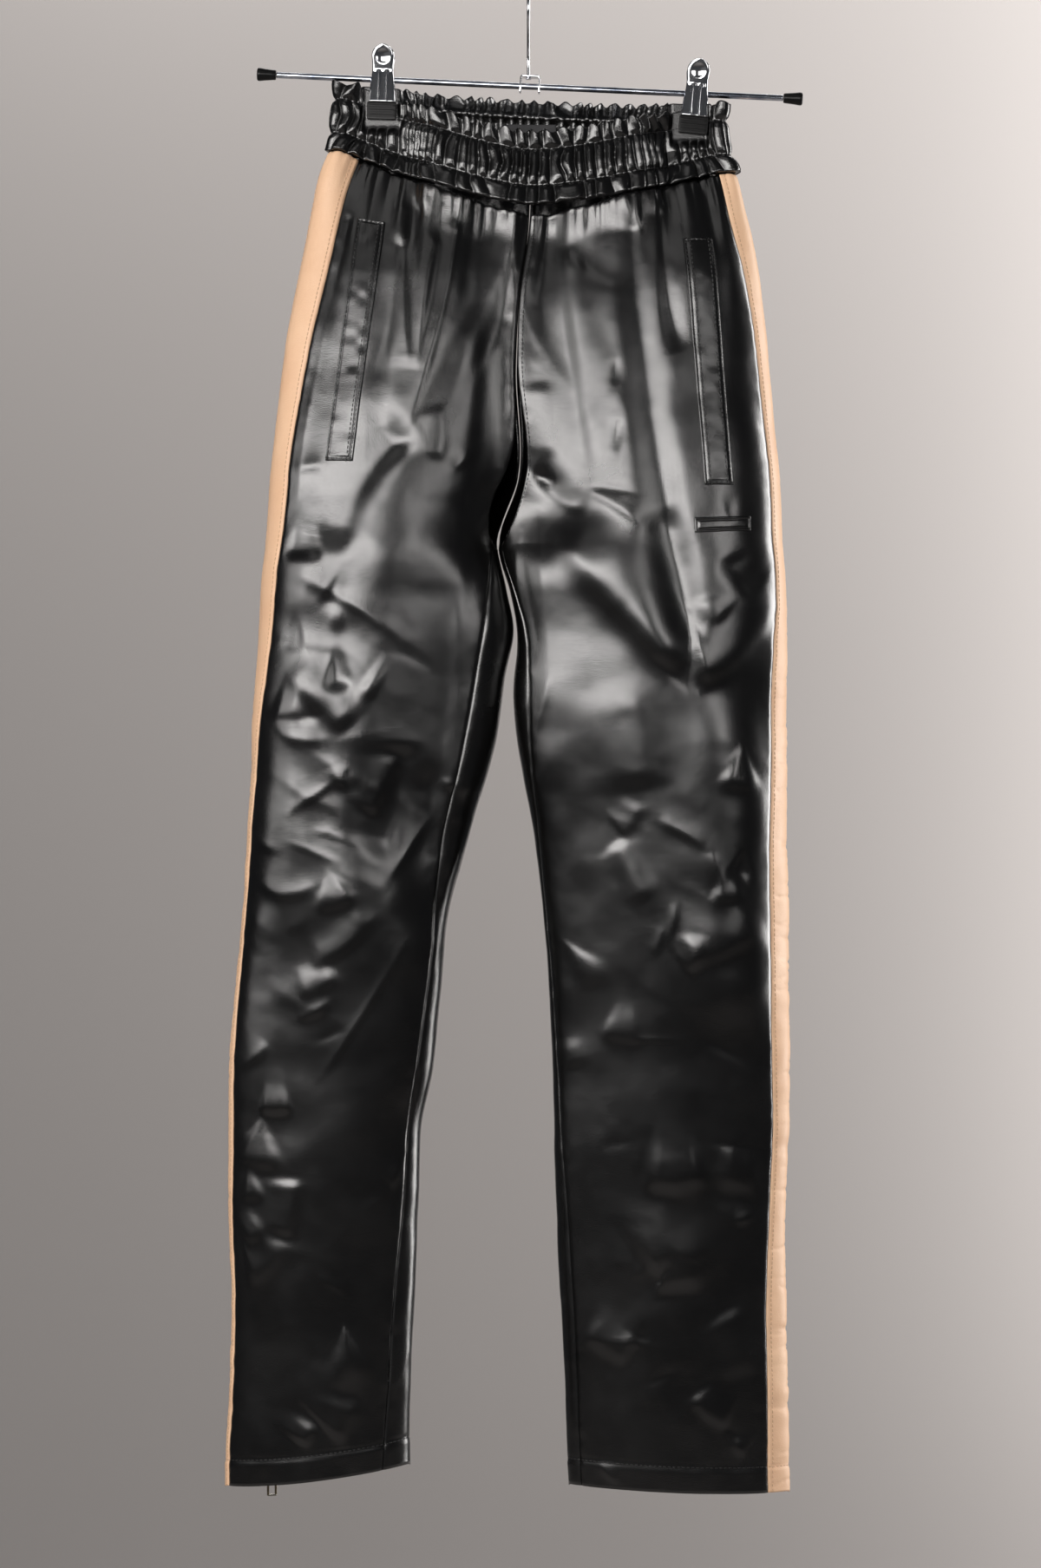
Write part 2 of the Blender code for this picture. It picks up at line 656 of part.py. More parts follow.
def zip_frame(side, height):
    """Place and directions of the zip at a height: point, across, out."""
    place = arc_angle(side, height, seam_angles(side, height)[2], ZIP_SETBACK)
    angle = np.array(place - 2 * math.pi if place > math.pi else place)
    point = garment_point(side, angle, np.array(height))
    normal = garment_normal(side, angle, np.array(height))
    out = Vector((normal[0], normal[1], 0)).normalized()
    return Vector(point), out.cross(Vector((0, 0, 1))), out


def place_block(name, size, middle, across, out, finish, bevel=0.0):
    """A block with its width along across and its depth along out."""
    half = size / 2
    signs = [(sx, sy, sz) for sz in (-1, 1) for sy in (-1, 1) for sx in (-1, 1)]
    points = []
    for sx, sy, sz in signs:
        points.append(middle + across * half.x * sx + out * half.y * sy + Vector((0, 0, half.z * sz)))
    faces = [(0, 1, 3, 2), (4, 6, 7, 5), (0, 4, 5, 1), (2, 3, 7, 6), (0, 2, 6, 4), (1, 5, 7, 3)]
    faces = facing_out([np.array(point) for point in points], faces)
    obj = add_object(name, points, faces, finish, 30.0)
    if bevel:
        modifier = obj.modifiers.new("round", "BEVEL")
        modifier.width = bevel
        modifier.segments = 1
    return obj


def build_zip(side):
    """Chain, slider, bail and hinged pull at one ankle."""
    bottom = HEM + SLIDER_LIFT[side]
    rows = 8
    outer = np.zeros((rows + 1, 3, 3))
    inner = np.zeros_like(outer)
    for r in range(rows + 1):
        height = bottom + ZIP_LENGTH * (1 - r / rows)
        point, across, out = zip_frame(side, height)
        for c, step in enumerate((-0.5, 0, 0.5)):
            here = point + across * ZIP_WIDTH * step
            outer[r, c] = here + out * (ZIP_RISE + 2 * GAP)
            inner[r, c] = here + out * 2 * GAP
    add_wall(f"zip_chain_{side}", outer, inner, "zip_metal")
    point, across, out = zip_frame(side, bottom + SLIDER_SIZE.z / 2)
    depth = ZIP_RISE + 3.5 * GAP + SLIDER_SIZE.y / 2
    middle = Vector((point.x, point.y, bottom + SLIDER_SIZE.z / 2)) + out * depth
    place_block(f"zip_slider_{side}", SLIDER_SIZE, middle, across, out, "zip_metal", 0.8 * MM)
    axis = middle + out * (SLIDER_SIZE.y / 2 + PULL_REACH) - Vector((0, 0, 2.0 * MM))
    build_bail(side, axis, across, out)
    build_pull(side, axis, across, out)


def build_bail(side, axis, across, out):
    """The arch on the slider that holds the pull's top bar."""
    grids = []
    for radius in reversed(BAIL_RADII):
        line = [(GAP - PULL_REACH, radius)]
        for k in range(7):
            angle = math.pi / 2 - math.pi * k / 6
            line.append((radius * math.cos(angle), radius * math.sin(angle)))
        line.append((GAP - PULL_REACH, -radius))
        grid = np.zeros((2, len(line), 3))
        for r, turn in enumerate((-0.5, 0.5)):
            for c, (reach, up) in enumerate(line):
                grid[r, c] = axis + across * BAIL_WIDTH * turn + out * reach + Vector((0, 0, up))
        grids.append(grid)
    add_wall(f"zip_bail_{side}", grids[0], grids[1], "zip_metal")


def build_pull(side, axis, across, out):
    """A rectangular pull hanging from its top bar: a slot, a plate and an open lower window."""
    columns, rows = len(PULL_ACROSS), len(PULL_UP)
    points = []
    for depth in (-PULL_WIRE, PULL_WIRE):
        for up in PULL_UP:
            for width in PULL_ACROSS:
                points.append(axis + across * width * MM + out * depth + Vector((0, 0, up * MM)))
    shift = columns * rows
    filled = {
        (r, c) for r in range(rows - 1) for c in range(columns - 1) if (r, c) not in PULL_EMPTY
    }
    faces = []
    for r, c in sorted(filled):
        a = r * columns + c
        corners = (a, a + columns, a + columns + 1, a + 1)
        faces.append(corners)
        faces.append(tuple(index + shift for index in reversed(corners)))
        edges = {(r - 1, c): (3, 0), (r, c - 1): (0, 1), (r + 1, c): (1, 2), (r, c + 1): (2, 3)}
        for neighbour, (first, second) in edges.items():
            if neighbour not in filled:
                here, there = corners[first], corners[second]
                faces.append((there, here, here + shift, there + shift))
    used = sorted({index for face in faces for index in face})
    place = {index: number for number, index in enumerate(used)}
    points = [points[index] for index in used]
    faces = [tuple(place[index] for index in face) for face in faces]
    faces = facing_out([np.array(point) for point in points], faces)
    add_object(f"zip_pull_{side}", points, faces, "zip_metal", 30.0)


# ---------------------------------------------------------------- hanger


def tilted(along, up, depth=0.0):
    """A place given along the tilted rod and up from it."""
    x = ROD_MIDDLE.x + along * math.cos(TILT) + up * math.sin(TILT)
    z = ROD_MIDDLE.z - along * math.sin(TILT) + up * math.cos(TILT)
    return Vector((x, depth, z))


def add_turned(name, profile, start, direction, finish, sides=16):
    """A turned piece: profile rows are (distance, radius) along direction from start."""
    turn = direction.to_track_quat("Z", "Y").to_matrix()
    points = []
    for distance, radius in profile:
        for k in range(sides):
            angle = 2 * math.pi * k / sides
            local = Vector((radius * math.cos(angle), radius * math.sin(angle), distance))
            points.append(start + turn @ local)
    faces = []
    count = len(profile)
    for r in range(count - 1):
        for k in range(sides):
            n = (k + 1) % sides
            faces.append((r * sides + k, r * sides + n, (r + 1) * sides + n, (r + 1) * sides + k))
    if profile[0] != profile[-1]:
        faces.append(tuple(reversed(range(sides))))
        faces.append(tuple(range((count - 1) * sides, count * sides)))
    else:
        ring = [tuple(i % ((count - 1) * sides) for i in face) for face in faces]
        faces, points = ring, points[: (count - 1) * sides]
    faces = facing_out([np.array(point) for point in points], faces)
    return add_object(name, points, faces, finish)


def build_rod():
    direction = (tilted(1, 0) - tilted(0, 0)).normalized()
    start = tilted(-ROD_LENGTH / 2, 0)
    profile = [(0, ROD_RADIUS), (ROD_LENGTH, ROD_RADIUS)]
    add_turned("hanger_rod", profile, start, direction, "chrome", 12)
    small, large = CAP_RADII
    for name, turn in (("right", -1), ("left", 1)):
        near = tilted(turn * (ROD_LENGTH / 2 + GAP), 0)
        profile = [
            (0, small),
            (CAP_LENGTH - 1.5 * MM, large),
            (CAP_LENGTH, large - 1.0 * MM),
        ]
        add_turned(f"end_cap_{name}", profile, near, direction * turn, "rubber", 16)


Clip = namedtuple("Clip", "along lean jaw_x")
# Place along the rod and lean of each clip in mm and degrees; jaw_x is where it grips.
CLIPS = {
    "right": Clip(-108.6 * MM, 1.5, -109.0 * MM),
    "left": Clip(122.8 * MM, 5.6, 118.0 * MM),
}
PlateRow = namedtuple("PlateRow", "up half depth")
# One row of a clip plate in mm: up from the rod, half width, and middle depth from the rod.
PLATE_ROWS = [
    PlateRow(26.0, 3.0, 9.0),
    PlateRow(24.8, 5.6, 8.7),
    PlateRow(22.0, 7.6, 8.0),
    PlateRow(18.0, 8.0, 7.0),
    PlateRow(11.0, 7.2, 5.8),
    PlateRow(5.0, 7.6, 4.9),
    PlateRow(-4.0, 8.6, 4.6),
    PlateRow(-17.0, 9.3, 4.4),
]


def clip_place(clip, across, up, depth):
    """A place on a leaning clip, given from the rod's middle at the clip."""
    lean = math.radians(clip.lean)
    middle = tilted(clip.along, 0)
    x = middle.x + across * math.cos(lean) + up * math.sin(lean)
    z = middle.z - across * math.sin(lean) + up * math.cos(lean)
    return Vector((x, depth, z))


def build_clip(side, clip):
    """Two plates, two rubber jaws and the spring around the rod."""
    for face, turn in (("front", -1), ("back", 1)):
        columns = 6
        outer = np.zeros((len(PLATE_ROWS), columns + 1, 3))
        inner = np.zeros_like(outer)
        for r, row in enumerate(PLATE_ROWS):
            for c in range(columns + 1):
                across = (2 * c / columns - 1) * row.half * MM
                crown = 0.9 * MM * (1 - (2 * c / columns - 1) ** 2) - 0.9 * MM
                depth = row.depth * MM + crown * (1 if row.up < 20 else 0.4)
                low = clip_place(clip, across, row.up * MM, turn * (depth - PLATE_SHEET / 2))
                high = clip_place(clip, across, row.up * MM, turn * (depth + PLATE_SHEET / 2))
                inner[r, c] = low
                outer[r, c] = high
        add_wall(f"clip_plate_{face}_{side}", outer, inner, "chrome")
        depth = turn * (CLAMP_DEPTH + GAP + JAW_SIZE.y / 2)
        middle = clip_place(clip, 0, -17.0 * MM - GAP - JAW_SIZE.z / 2, depth)
        lean = math.radians(clip.lean)
        jaw = place_block(
            f"clip_jaw_{face}_{side}", JAW_SIZE, Vector((0, 0, 0)),
            Vector((1, 0, 0)), Vector((0, 1, 0)), "rubber", 1.0 * MM,
        )
        jaw.matrix_world = Matrix.Translation(middle) @ Matrix.Rotation(lean, 4, "Y")
    small, large = SPRING_RADII
    length = SPRING_LENGTH
    profile = [(0, small), (length, small), (length, large), (0, large), (0, small)]
    direction = (tilted(1, 0) - tilted(0, 0)).normalized()
    start = tilted(clip.along - length / 2, 0)
    add_turned(f"clip_spring_{side}", profile, start, direction, "chrome", 16)


def hook_route():
    """The hook's middle line: up from the bracket, around the front of the rail and over it."""
    radius = RAIL_RADIUS + WIRE_RADIUS
    foot = tilted(0, BRACKET_RISE - BRACKET_SHEET - HEAD_LENGTH - 1.5 * GAP).z
    centre = WIRE_RADIUS - radius
    points = [Vector((SHANK_X, 0, foot)), Vector((SHANK_X, 0, foot + 8.0 * MM))]
    bend_from = foot + 12.0 * MM
    bend_to = centre - 8.0 * MM
    for k in range(9):
        t = k / 8
        ease = t * t * (3 - 2 * t)
        points.append(Vector((SHANK_X, -radius * ease, bend_from + (bend_to - bend_from) * t)))
    for k in range(19):
        angle = math.pi - math.radians(205) * k / 18
        points.append(Vector((SHANK_X, radius * math.cos(angle), centre + radius * math.sin(angle))))
    return points


def add_tube(name, route, radius, finish, sides=8, head=None):
    """A round wire along a route in the plane of its X; head is an end disc (radius, length)."""
    rings = []
    count = len(route)
    radii = [radius] * count
    places = list(route)
    if head:
        head_radius, head_length = head
        foot = route[0]
        places = [foot, foot + Vector((0, 0, head_length)), foot + Vector((0, 0, head_length))] + route[1:]
        radii = [head_radius, head_radius, radius] + [radius] * (count - 1)
    for k, place in enumerate(places):
        before = places[max(k - 1, 0)]
        after = places[min(k + 1, len(places) - 1)]
        along = (after - before).normalized()
        side = Vector((1, 0, 0))
        up = side.cross(along).normalized()
        ring = []
        for j in range(sides):
            angle = 2 * math.pi * j / sides
            ring.append(place + side * radii[k] * math.cos(angle) + up * radii[k] * math.sin(angle))
        rings.append(ring)
    points = [point for ring in rings for point in ring]
    faces = []
    for r in range(len(rings) - 1):
        for j in range(sides):
            n = (j + 1) % sides
            faces.append((r * sides + j, r * sides + n, (r + 1) * sides + n, (r + 1) * sides + j))
    faces.append(tuple(reversed(range(sides))))
    faces.append(tuple(range((len(rings) - 1) * sides, len(rings) * sides)))
    faces = facing_out([np.array(point) for point in points], faces)
    return add_object(name, points, faces, finish)


def build_hook():
    add_tube("hanger_hook", hook_route(), WIRE_RADIUS, "chrome", 8, (HEAD_RADIUS, HEAD_LENGTH))


def cut(target, name, radius, length, middle, direction):
    """Cut a round hole through the target."""
    turn = direction.to_track_quat("Z", "Y").to_matrix().to_4x4()
    points, faces = [], []
    sides = 12
    for end in (-length / 2, length / 2):
        for k in range(sides):
            angle = 2 * math.pi * k / sides
            points.append((radius * math.cos(angle), radius * math.sin(angle), end))
    for k in range(sides):
        n = (k + 1) % sides
        faces.append((k, n, n + sides, k + sides))
    faces.append(tuple(reversed(range(sides))))
    faces.append(tuple(range(sides, 2 * sides)))
    cutter = add_object(name, points, faces, "chrome")
    cutter.matrix_world = Matrix.Translation(middle) @ turn
    cutter.hide_render = True
    cutter.display_type = "WIRE"
    boolean = target.modifiers.new(name, "BOOLEAN")
    boolean.object = cutter
    boolean.operation = "DIFFERENCE"
    boolean.solver = "EXACT"


def build_bracket():
    """The U-shaped strap: the rod runs through its legs and the hook turns in its top."""
    half = BRACKET_WIDTH / 2
    sheet = BRACKET_SHEET
    outline = [
        (-half, -BRACKET_DROP), (-half, BRACKET_RISE), (half, BRACKET_RISE), (half, -BRACKET_DROP),
        (half - sheet, -BRACKET_DROP), (half - sheet, BRACKET_RISE - sheet),
        (-half + sheet, BRACKET_RISE - sheet), (-half + sheet, -BRACKET_DROP),
    ]
    points = []
    for depth in (-BRACKET_DEPTH / 2, BRACKET_DEPTH / 2):
        for along, up in outline:
            points.append(tilted(along, up, depth))
    count = len(outline)
    strips = [(0, 1, 6, 7), (1, 2, 5, 6), (2, 3, 4, 5)]
    faces = [tuple(strip) for strip in strips]
    faces += [tuple(index + count for index in reversed(strip)) for strip in strips]
    for k in range(count):
        n = (k + 1) % count
        faces.append((k, k + count, n + count, n))
    faces = facing_out([np.array(point) for point in points], faces)
    bracket = add_object("hook_bracket", points, faces, "chrome", 30.0)
    direction = (tilted(1, 0) - tilted(0, 0)).normalized()
    cut(bracket, "rod_hole", ROD_RADIUS + GAP, 40 * MM, tilted(0, 0), direction)
    top = tilted(SHANK_X - ROD_MIDDLE.x, BRACKET_RISE - sheet / 2)
    cut(bracket, "shank_hole", WIRE_RADIUS + GAP, 6 * MM, Vector((SHANK_X, 0, top.z)), Vector((0, 0, 1)))


def build_hanger():
    build_rod()
    build_bracket()
    build_hook()
    for side, clip in CLIPS.items():
        build_clip(side, clip)


def main():
    clear_scene()
    panels = build_panels()
    bands = build_waistband()
    build_applied(panels)
    build_label(bands["waistband_back"])
    for side in SIDES:
        build_zip(side)
    build_hanger()


main()
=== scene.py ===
"""Dresses the faux leather trousers, their ankle zips and the clip hanger that holds them.

Each half of the garment is a tube around the points of a rounded section. Angles run around a
section from its inner edge (0) over the front (positive) or the back (negative) to its outer
edge (180 degrees). Metres, +Z up, +X to the wearer's left, front towards -Y.
"""

import json
import logging
import math
from dataclasses import dataclass, field, replace
from enum import Enum
from functools import cache

import bmesh
import bpy
import numpy as np
from bpy.types import Material, Node, NodeTree, Object
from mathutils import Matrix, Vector


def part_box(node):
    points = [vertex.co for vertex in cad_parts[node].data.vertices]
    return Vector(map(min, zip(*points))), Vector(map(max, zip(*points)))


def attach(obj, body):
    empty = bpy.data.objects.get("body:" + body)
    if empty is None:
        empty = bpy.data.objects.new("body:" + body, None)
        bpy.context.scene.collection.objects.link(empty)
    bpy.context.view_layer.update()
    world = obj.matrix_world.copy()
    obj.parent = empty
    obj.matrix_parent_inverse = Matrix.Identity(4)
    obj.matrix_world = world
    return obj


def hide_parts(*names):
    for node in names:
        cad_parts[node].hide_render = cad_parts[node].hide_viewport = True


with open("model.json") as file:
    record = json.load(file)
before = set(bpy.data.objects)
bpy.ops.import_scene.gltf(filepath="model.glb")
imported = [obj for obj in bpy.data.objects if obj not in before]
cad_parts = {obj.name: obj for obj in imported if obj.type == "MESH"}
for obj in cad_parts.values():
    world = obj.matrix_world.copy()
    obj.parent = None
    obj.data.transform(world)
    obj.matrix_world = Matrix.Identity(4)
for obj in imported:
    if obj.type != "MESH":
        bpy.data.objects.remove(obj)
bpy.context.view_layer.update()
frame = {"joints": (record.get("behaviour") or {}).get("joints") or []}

Array = np.ndarray
Pair = tuple[float, float]
Triple = tuple[float, float, float]
Shape = tuple[Array, list]

MM = 0.001
LOG = logging.getLogger("trousers")
BODY = "trousers"
FORWARD = np.array([0.0, -1.0, 0.0])
BACKWARD = np.array([0.0, 1.0, 0.0])
UP = np.array([0.0, 0.0, 1.0])


class Side(Enum):
    """A side of the wearer."""

    RIGHT = "right"
    LEFT = "left"

    @property
    def sign(self) -> float:
        """Direction of the side along X."""
        return -1.0 if self is Side.RIGHT else 1.0


class Face(Enum):
    """The front or the back of the garment."""

    FRONT = "front"
    BACK = "back"

    @property
    def turn(self) -> float:
        """Sign of the section's angle on this face."""
        return 1.0 if self is Face.FRONT else -1.0


# ---------------------------------------------------------------- tables of the cut, in mm

# Height, outer edge, inner edge, inseam in from the inner edge, stripe's share in front
SIDE_TABLES = {
    Side.RIGHT: np.array([
        (-84.5, -140.0, 1.0, 0.0, 23.0), (-135.7, -148.5, 1.0, 0.0, 24.5),
        (-151.7, -154.5, 1.0, 0.0, 25.5), (-184.3, -162.0, 0.0, 0.0, 23.5),
        (-233.0, -171.5, -6.5, 0.0, 21.5), (-287.4, -180.5, -9.5, 0.0, 18.5),
        (-370.6, -190.0, -8.0, 0.0, 14.5), (-425.0, -194.5, -23.0, 0.0, 14.0),
        (-457.0, -198.0, -15.9, 12.0, 14.0), (-485.8, -200.0, -10.6, 21.0, 12.5),
        (-527.4, -202.5, -18.5, 20.0, 10.0), (-572.8, -204.0, -26.0, 20.5, 6.5),
        (-636.2, -207.5, -43.0, 16.5, 4.5), (-693.8, -212.0, -59.0, 8.5, 3.5),
        (-751.4, -217.0, -65.5, 9.0, 3.5), (-809.0, -221.0, -70.5, 11.5, 4.0),
        (-853.8, -222.5, -78.5, 9.0, 4.0), (-905.0, -222.0, -80.5, 10.5, 3.5),
        (-981.8, -220.0, -85.0, 14.0, 3.0), (-1045.8, -221.5, -87.5, 15.5, 3.0),
        (-1119.4, -223.5, -87.0, 20.0, 3.0),
    ]),
    Side.LEFT: np.array([
        (-84.5, 142.5, 1.0, 0.0, 13.0), (-135.7, 147.0, 1.0, 0.0, 12.0),
        (-151.7, 152.5, 1.0, 0.0, 13.0), (-184.3, 160.5, 0.0, 0.0, 13.5),
        (-233.0, 170.0, -6.5, 0.0, 12.0), (-287.4, 176.5, -9.5, 0.0, 10.0),
        (-370.6, 184.0, -8.0, 0.0, 10.0), (-425.0, 186.5, -23.0, 0.0, 10.0),
        (-457.0, 188.5, -15.1, 3.0, 9.5), (-485.8, 189.0, -9.9, 6.0, 10.5),
        (-527.4, 190.0, -12.0, 11.5, 12.5), (-572.8, 190.5, -8.0, 9.0, 13.5),
        (-636.2, 190.5, 3.0, 3.5, 15.5), (-693.8, 191.5, 10.0, 2.0, 16.0),
        (-751.4, 191.5, 14.0, 2.5, 15.0), (-809.0, 191.5, 17.0, 3.5, 13.5),
        (-853.8, 191.5, 18.5, 5.0, 12.5), (-905.0, 190.0, 19.0, 8.0, 13.0),
        (-981.8, 190.0, 23.0, 9.5, 16.0), (-1045.8, 190.5, 26.5, 9.0, 16.0),
        (-1119.4, 192.0, 30.0, 8.5, 17.0),
    ]),
}
# Height, front and back half depth, and the power that rounds the section
DEPTHS = np.array([
    (-84.5, 20.0, 13.5, 0.66), (-151.7, 25.0, 17.0, 0.66), (-184.3, 31.0, 24.0, 0.72),
    (-233.0, 38.0, 33.0, 0.78), (-329.0, 45.0, 44.0, 0.84), (-425.0, 48.0, 50.0, 0.88),
    (-572.8, 46.0, 47.0, 0.88), (-720.0, 40.0, 41.0, 0.9), (-853.8, 34.0, 37.0, 0.92),
    (-1119.4, 27.0, 30.0, 0.94),
])
# Broad folds: start, middle and end seen from the front (x, z), half width, height
FRONT_FOLDS = np.array([
    (17, -184, 24, -288, 39, -382, 9, -4.4), (74, -209, 88, -356, 120, -509, 9, -4.95),
    (97, -395, 107, -452, 121, -506, 9, -3), (94, -191, 97, -255, 109, -286, 6, -3.3),
    (35, -206, 50, -226, 70, -235, 7, -1.8), (-4, -371, 16, -395, 43, -400, 6, -1.4),
    (16, -407, 68, -469, 117, -518, 15, 5.5), (115, -516, 147, -519, 176, -452, 14.85, 5.35),
    (142, -432, 153, -452, 167, -459, 8.1, -1.86), (127, -462, 132, -477, 140, -482, 6.75, 1.35),
    (140, -402, 142, -400, 152, -403, 5, -0.5), (6, -303, 6, -333, 11, -367, 9, 1.1),
    (-83, -184, -86, -233, -86, -288, 5, -2.75), (-98, -214, -111, -291, -108, -338, 6, -3.3),
    (-83, -338, -132, -370, -142, -437, 11, -4.2), (134, -180, 151, -330, 166, -500, 22, 7),
    (-4, -136, -7, -300, -14, -460, 38, -14), (34, -130, 32, -300, 24, -460, 34, -9),
    (-58, -420, -66, -540, -84, -710, 24, -8), (-160, -400, -168, -520, -178, -720, 17, 5),
    (150, -520, 158, -640, 158, -800, 20, 7), (-26, -189, -18, -308, -30, -432, 12, -2),
    (-40, -246, -46, -358, -56, -544, 9, 1.6), (-178, -428, -163, -432, -147, -428, 6.75, -2.43),
    (-150, -463, -145, -467, -128, -472, 8.1, -1.3),
    (-147, -478, -139, -480, -131, -479, 9.45, 1.2),
    (-176, -515, -150, -539, -130, -561, 8.1, 2.11),
    (-181, -493, -170, -499, -160, -496, 6.75, -1.5),
    (-149, -523, -138, -526, -126, -521, 8.1, -2.11),
    (-123, -526, -116, -531, -108, -536, 9.45, 1.52), (-71, -323, -61, -343, -69, -367, 7, 1.2),
    (-188, -545, -174, -551, -158, -548, 8.1, 2.11),
    (-119, -623, -107, -603, -95, -576, 6.75, 1.76), (-156, -683, -140, -690, -127, -673, 8.1, 1.5),
    (-161, -728, -133, -723, -113, -690, 6.75, 1.3),
    (-169, -751, -154, -749, -139, -735, 6.75, 1.2),
    (-198, -833, -186, -837, -171, -832, 6.08, 2.07),
    (-70, -580, -72, -649, -72, -719, 12.15, -3.12),
    (-91, -568, -93, -607, -112, -659, 13.5, -3.38),
    (-215, -861, -200, -876, -180, -865, 10.8, 2.3),
    (-213, -897, -203, -901, -192, -894, 6.75, 1.5),
    (-210, -933, -201, -928, -191, -919, 6.75, 1.5),
    (-210, -956, -193, -956, -178, -926, 10.8, 2.3), (-173, -885, -174, -908, -182, -933, 8.1, 2.2),
    (-148, -1018, -132, -1027, -116, -1014, 16.2, 1.86),
    (-148, -1076, -137, -1069, -130, -1043, 10.8, 2.03),
    (-169, -1082, -164, -1075, -157, -1063, 6.75, 1.52), (70, -520, 75, -576, 80, -607, 17.55, 2),
    (64, -636, 72, -631, 80, -612, 6.08, 0.9), (136, -590, 151, -601, 166, -593, 9.45, 2.46),
    (131, -678, 143, -682, 157, -676, 6.75, 1.76), (110, -728, 136, -721, 171, -699, 9.45, 1.8),
    (110, -734, 121, -729, 124, -708, 6.75, 1.0), (61, -640, 73, -663, 84, -687, 6.08, 1.1),
    (143, -659, 150, -666, 162, -661, 8.1, -2.11), (52, -775, 66, -783, 83, -778, 8.1, 1.3),
    (29, -743, 47, -738, 52, -724, 12.15, 1.52), (24, -785, 29, -799, 34, -810, 8.1, 1.52),
    (80, -883, 105, -889, 133, -879, 12.15, 2.8), (131, -881, 154, -888, 174, -884, 12.15, 2.0),
    (81, -951, 111, -926, 115, -974, 13.5, 2.6), (39, -997, 59, -1009, 77, -1018, 9.45, 2.03),
    (119, -1043, 131, -1060, 148, -1066, 6.75, 1.4),
    (140, -984, 151, -1000, 160, -1036, 10.8, 1.52),
], dtype=float)
BACK_FOLDS = np.array([
    (-112, -150, -118, -206, -128, -270, 9, 3.9), (-70, -146, -74, -210, -86, -290, 9, 4.2),
    (-30, -146, -32, -200, -40, -262, 8, 3.3), (28, -148, 32, -214, 40, -280, 9, 3.9),
    (72, -152, 78, -220, 88, -300, 9, 4.2), (112, -154, 120, -214, 132, -272, 9, 3.6),
    (-150, -452, -108, -476, -62, -470, 11, -4.5), (-158, -500, -114, -530, -70, -520, 11, -3.9),
    (150, -448, 108, -478, 52, -472, 11, -4.5), (156, -506, 104, -530, 54, -516, 11, -3.6),
    (-196, -700, -146, -724, -96, -704, 10, -4.5), (-202, -752, -152, -766, -100, -744, 10, -3.9),
    (-204, -806, -154, -822, -106, -806, 10, -3.9), (168, -704, 110, -722, 50, -700, 10, -4.5),
    (170, -752, 108, -772, 50, -750, 10, -3.9), (166, -806, 112, -824, 56, -806, 10, -3.9),
    (-186, -966, -156, -978, -128, -968, 11, -3.0), (150, -972, 112, -986, 70, -974, 11, -3.0),
], dtype=float)
# Crumpled places: x, z, half width and half height in mm, and weight
CRUMPLES = np.array([
    (-165, -500, 62, 85, 0.65), (-165, -640, 60, 85, 0.7), (-175, -760, 50, 60, 0.35),
    (-190, -880, 45, 70, 0.4), (-45, -625, 26, 75, 0.9), (-150, -1040, 60, 60, 0.15),
    (80, -615, 30, 45, 0.4), (150, -690, 42, 70, 0.45), (165, -575, 28, 50, 0.35),
    (60, -760, 45, 50, 0.15), (150, -900, 60, 50, 0.25), (60, -1010, 45, 60, 0.15),
    (150, -1050, 40, 60, 0.15),
])
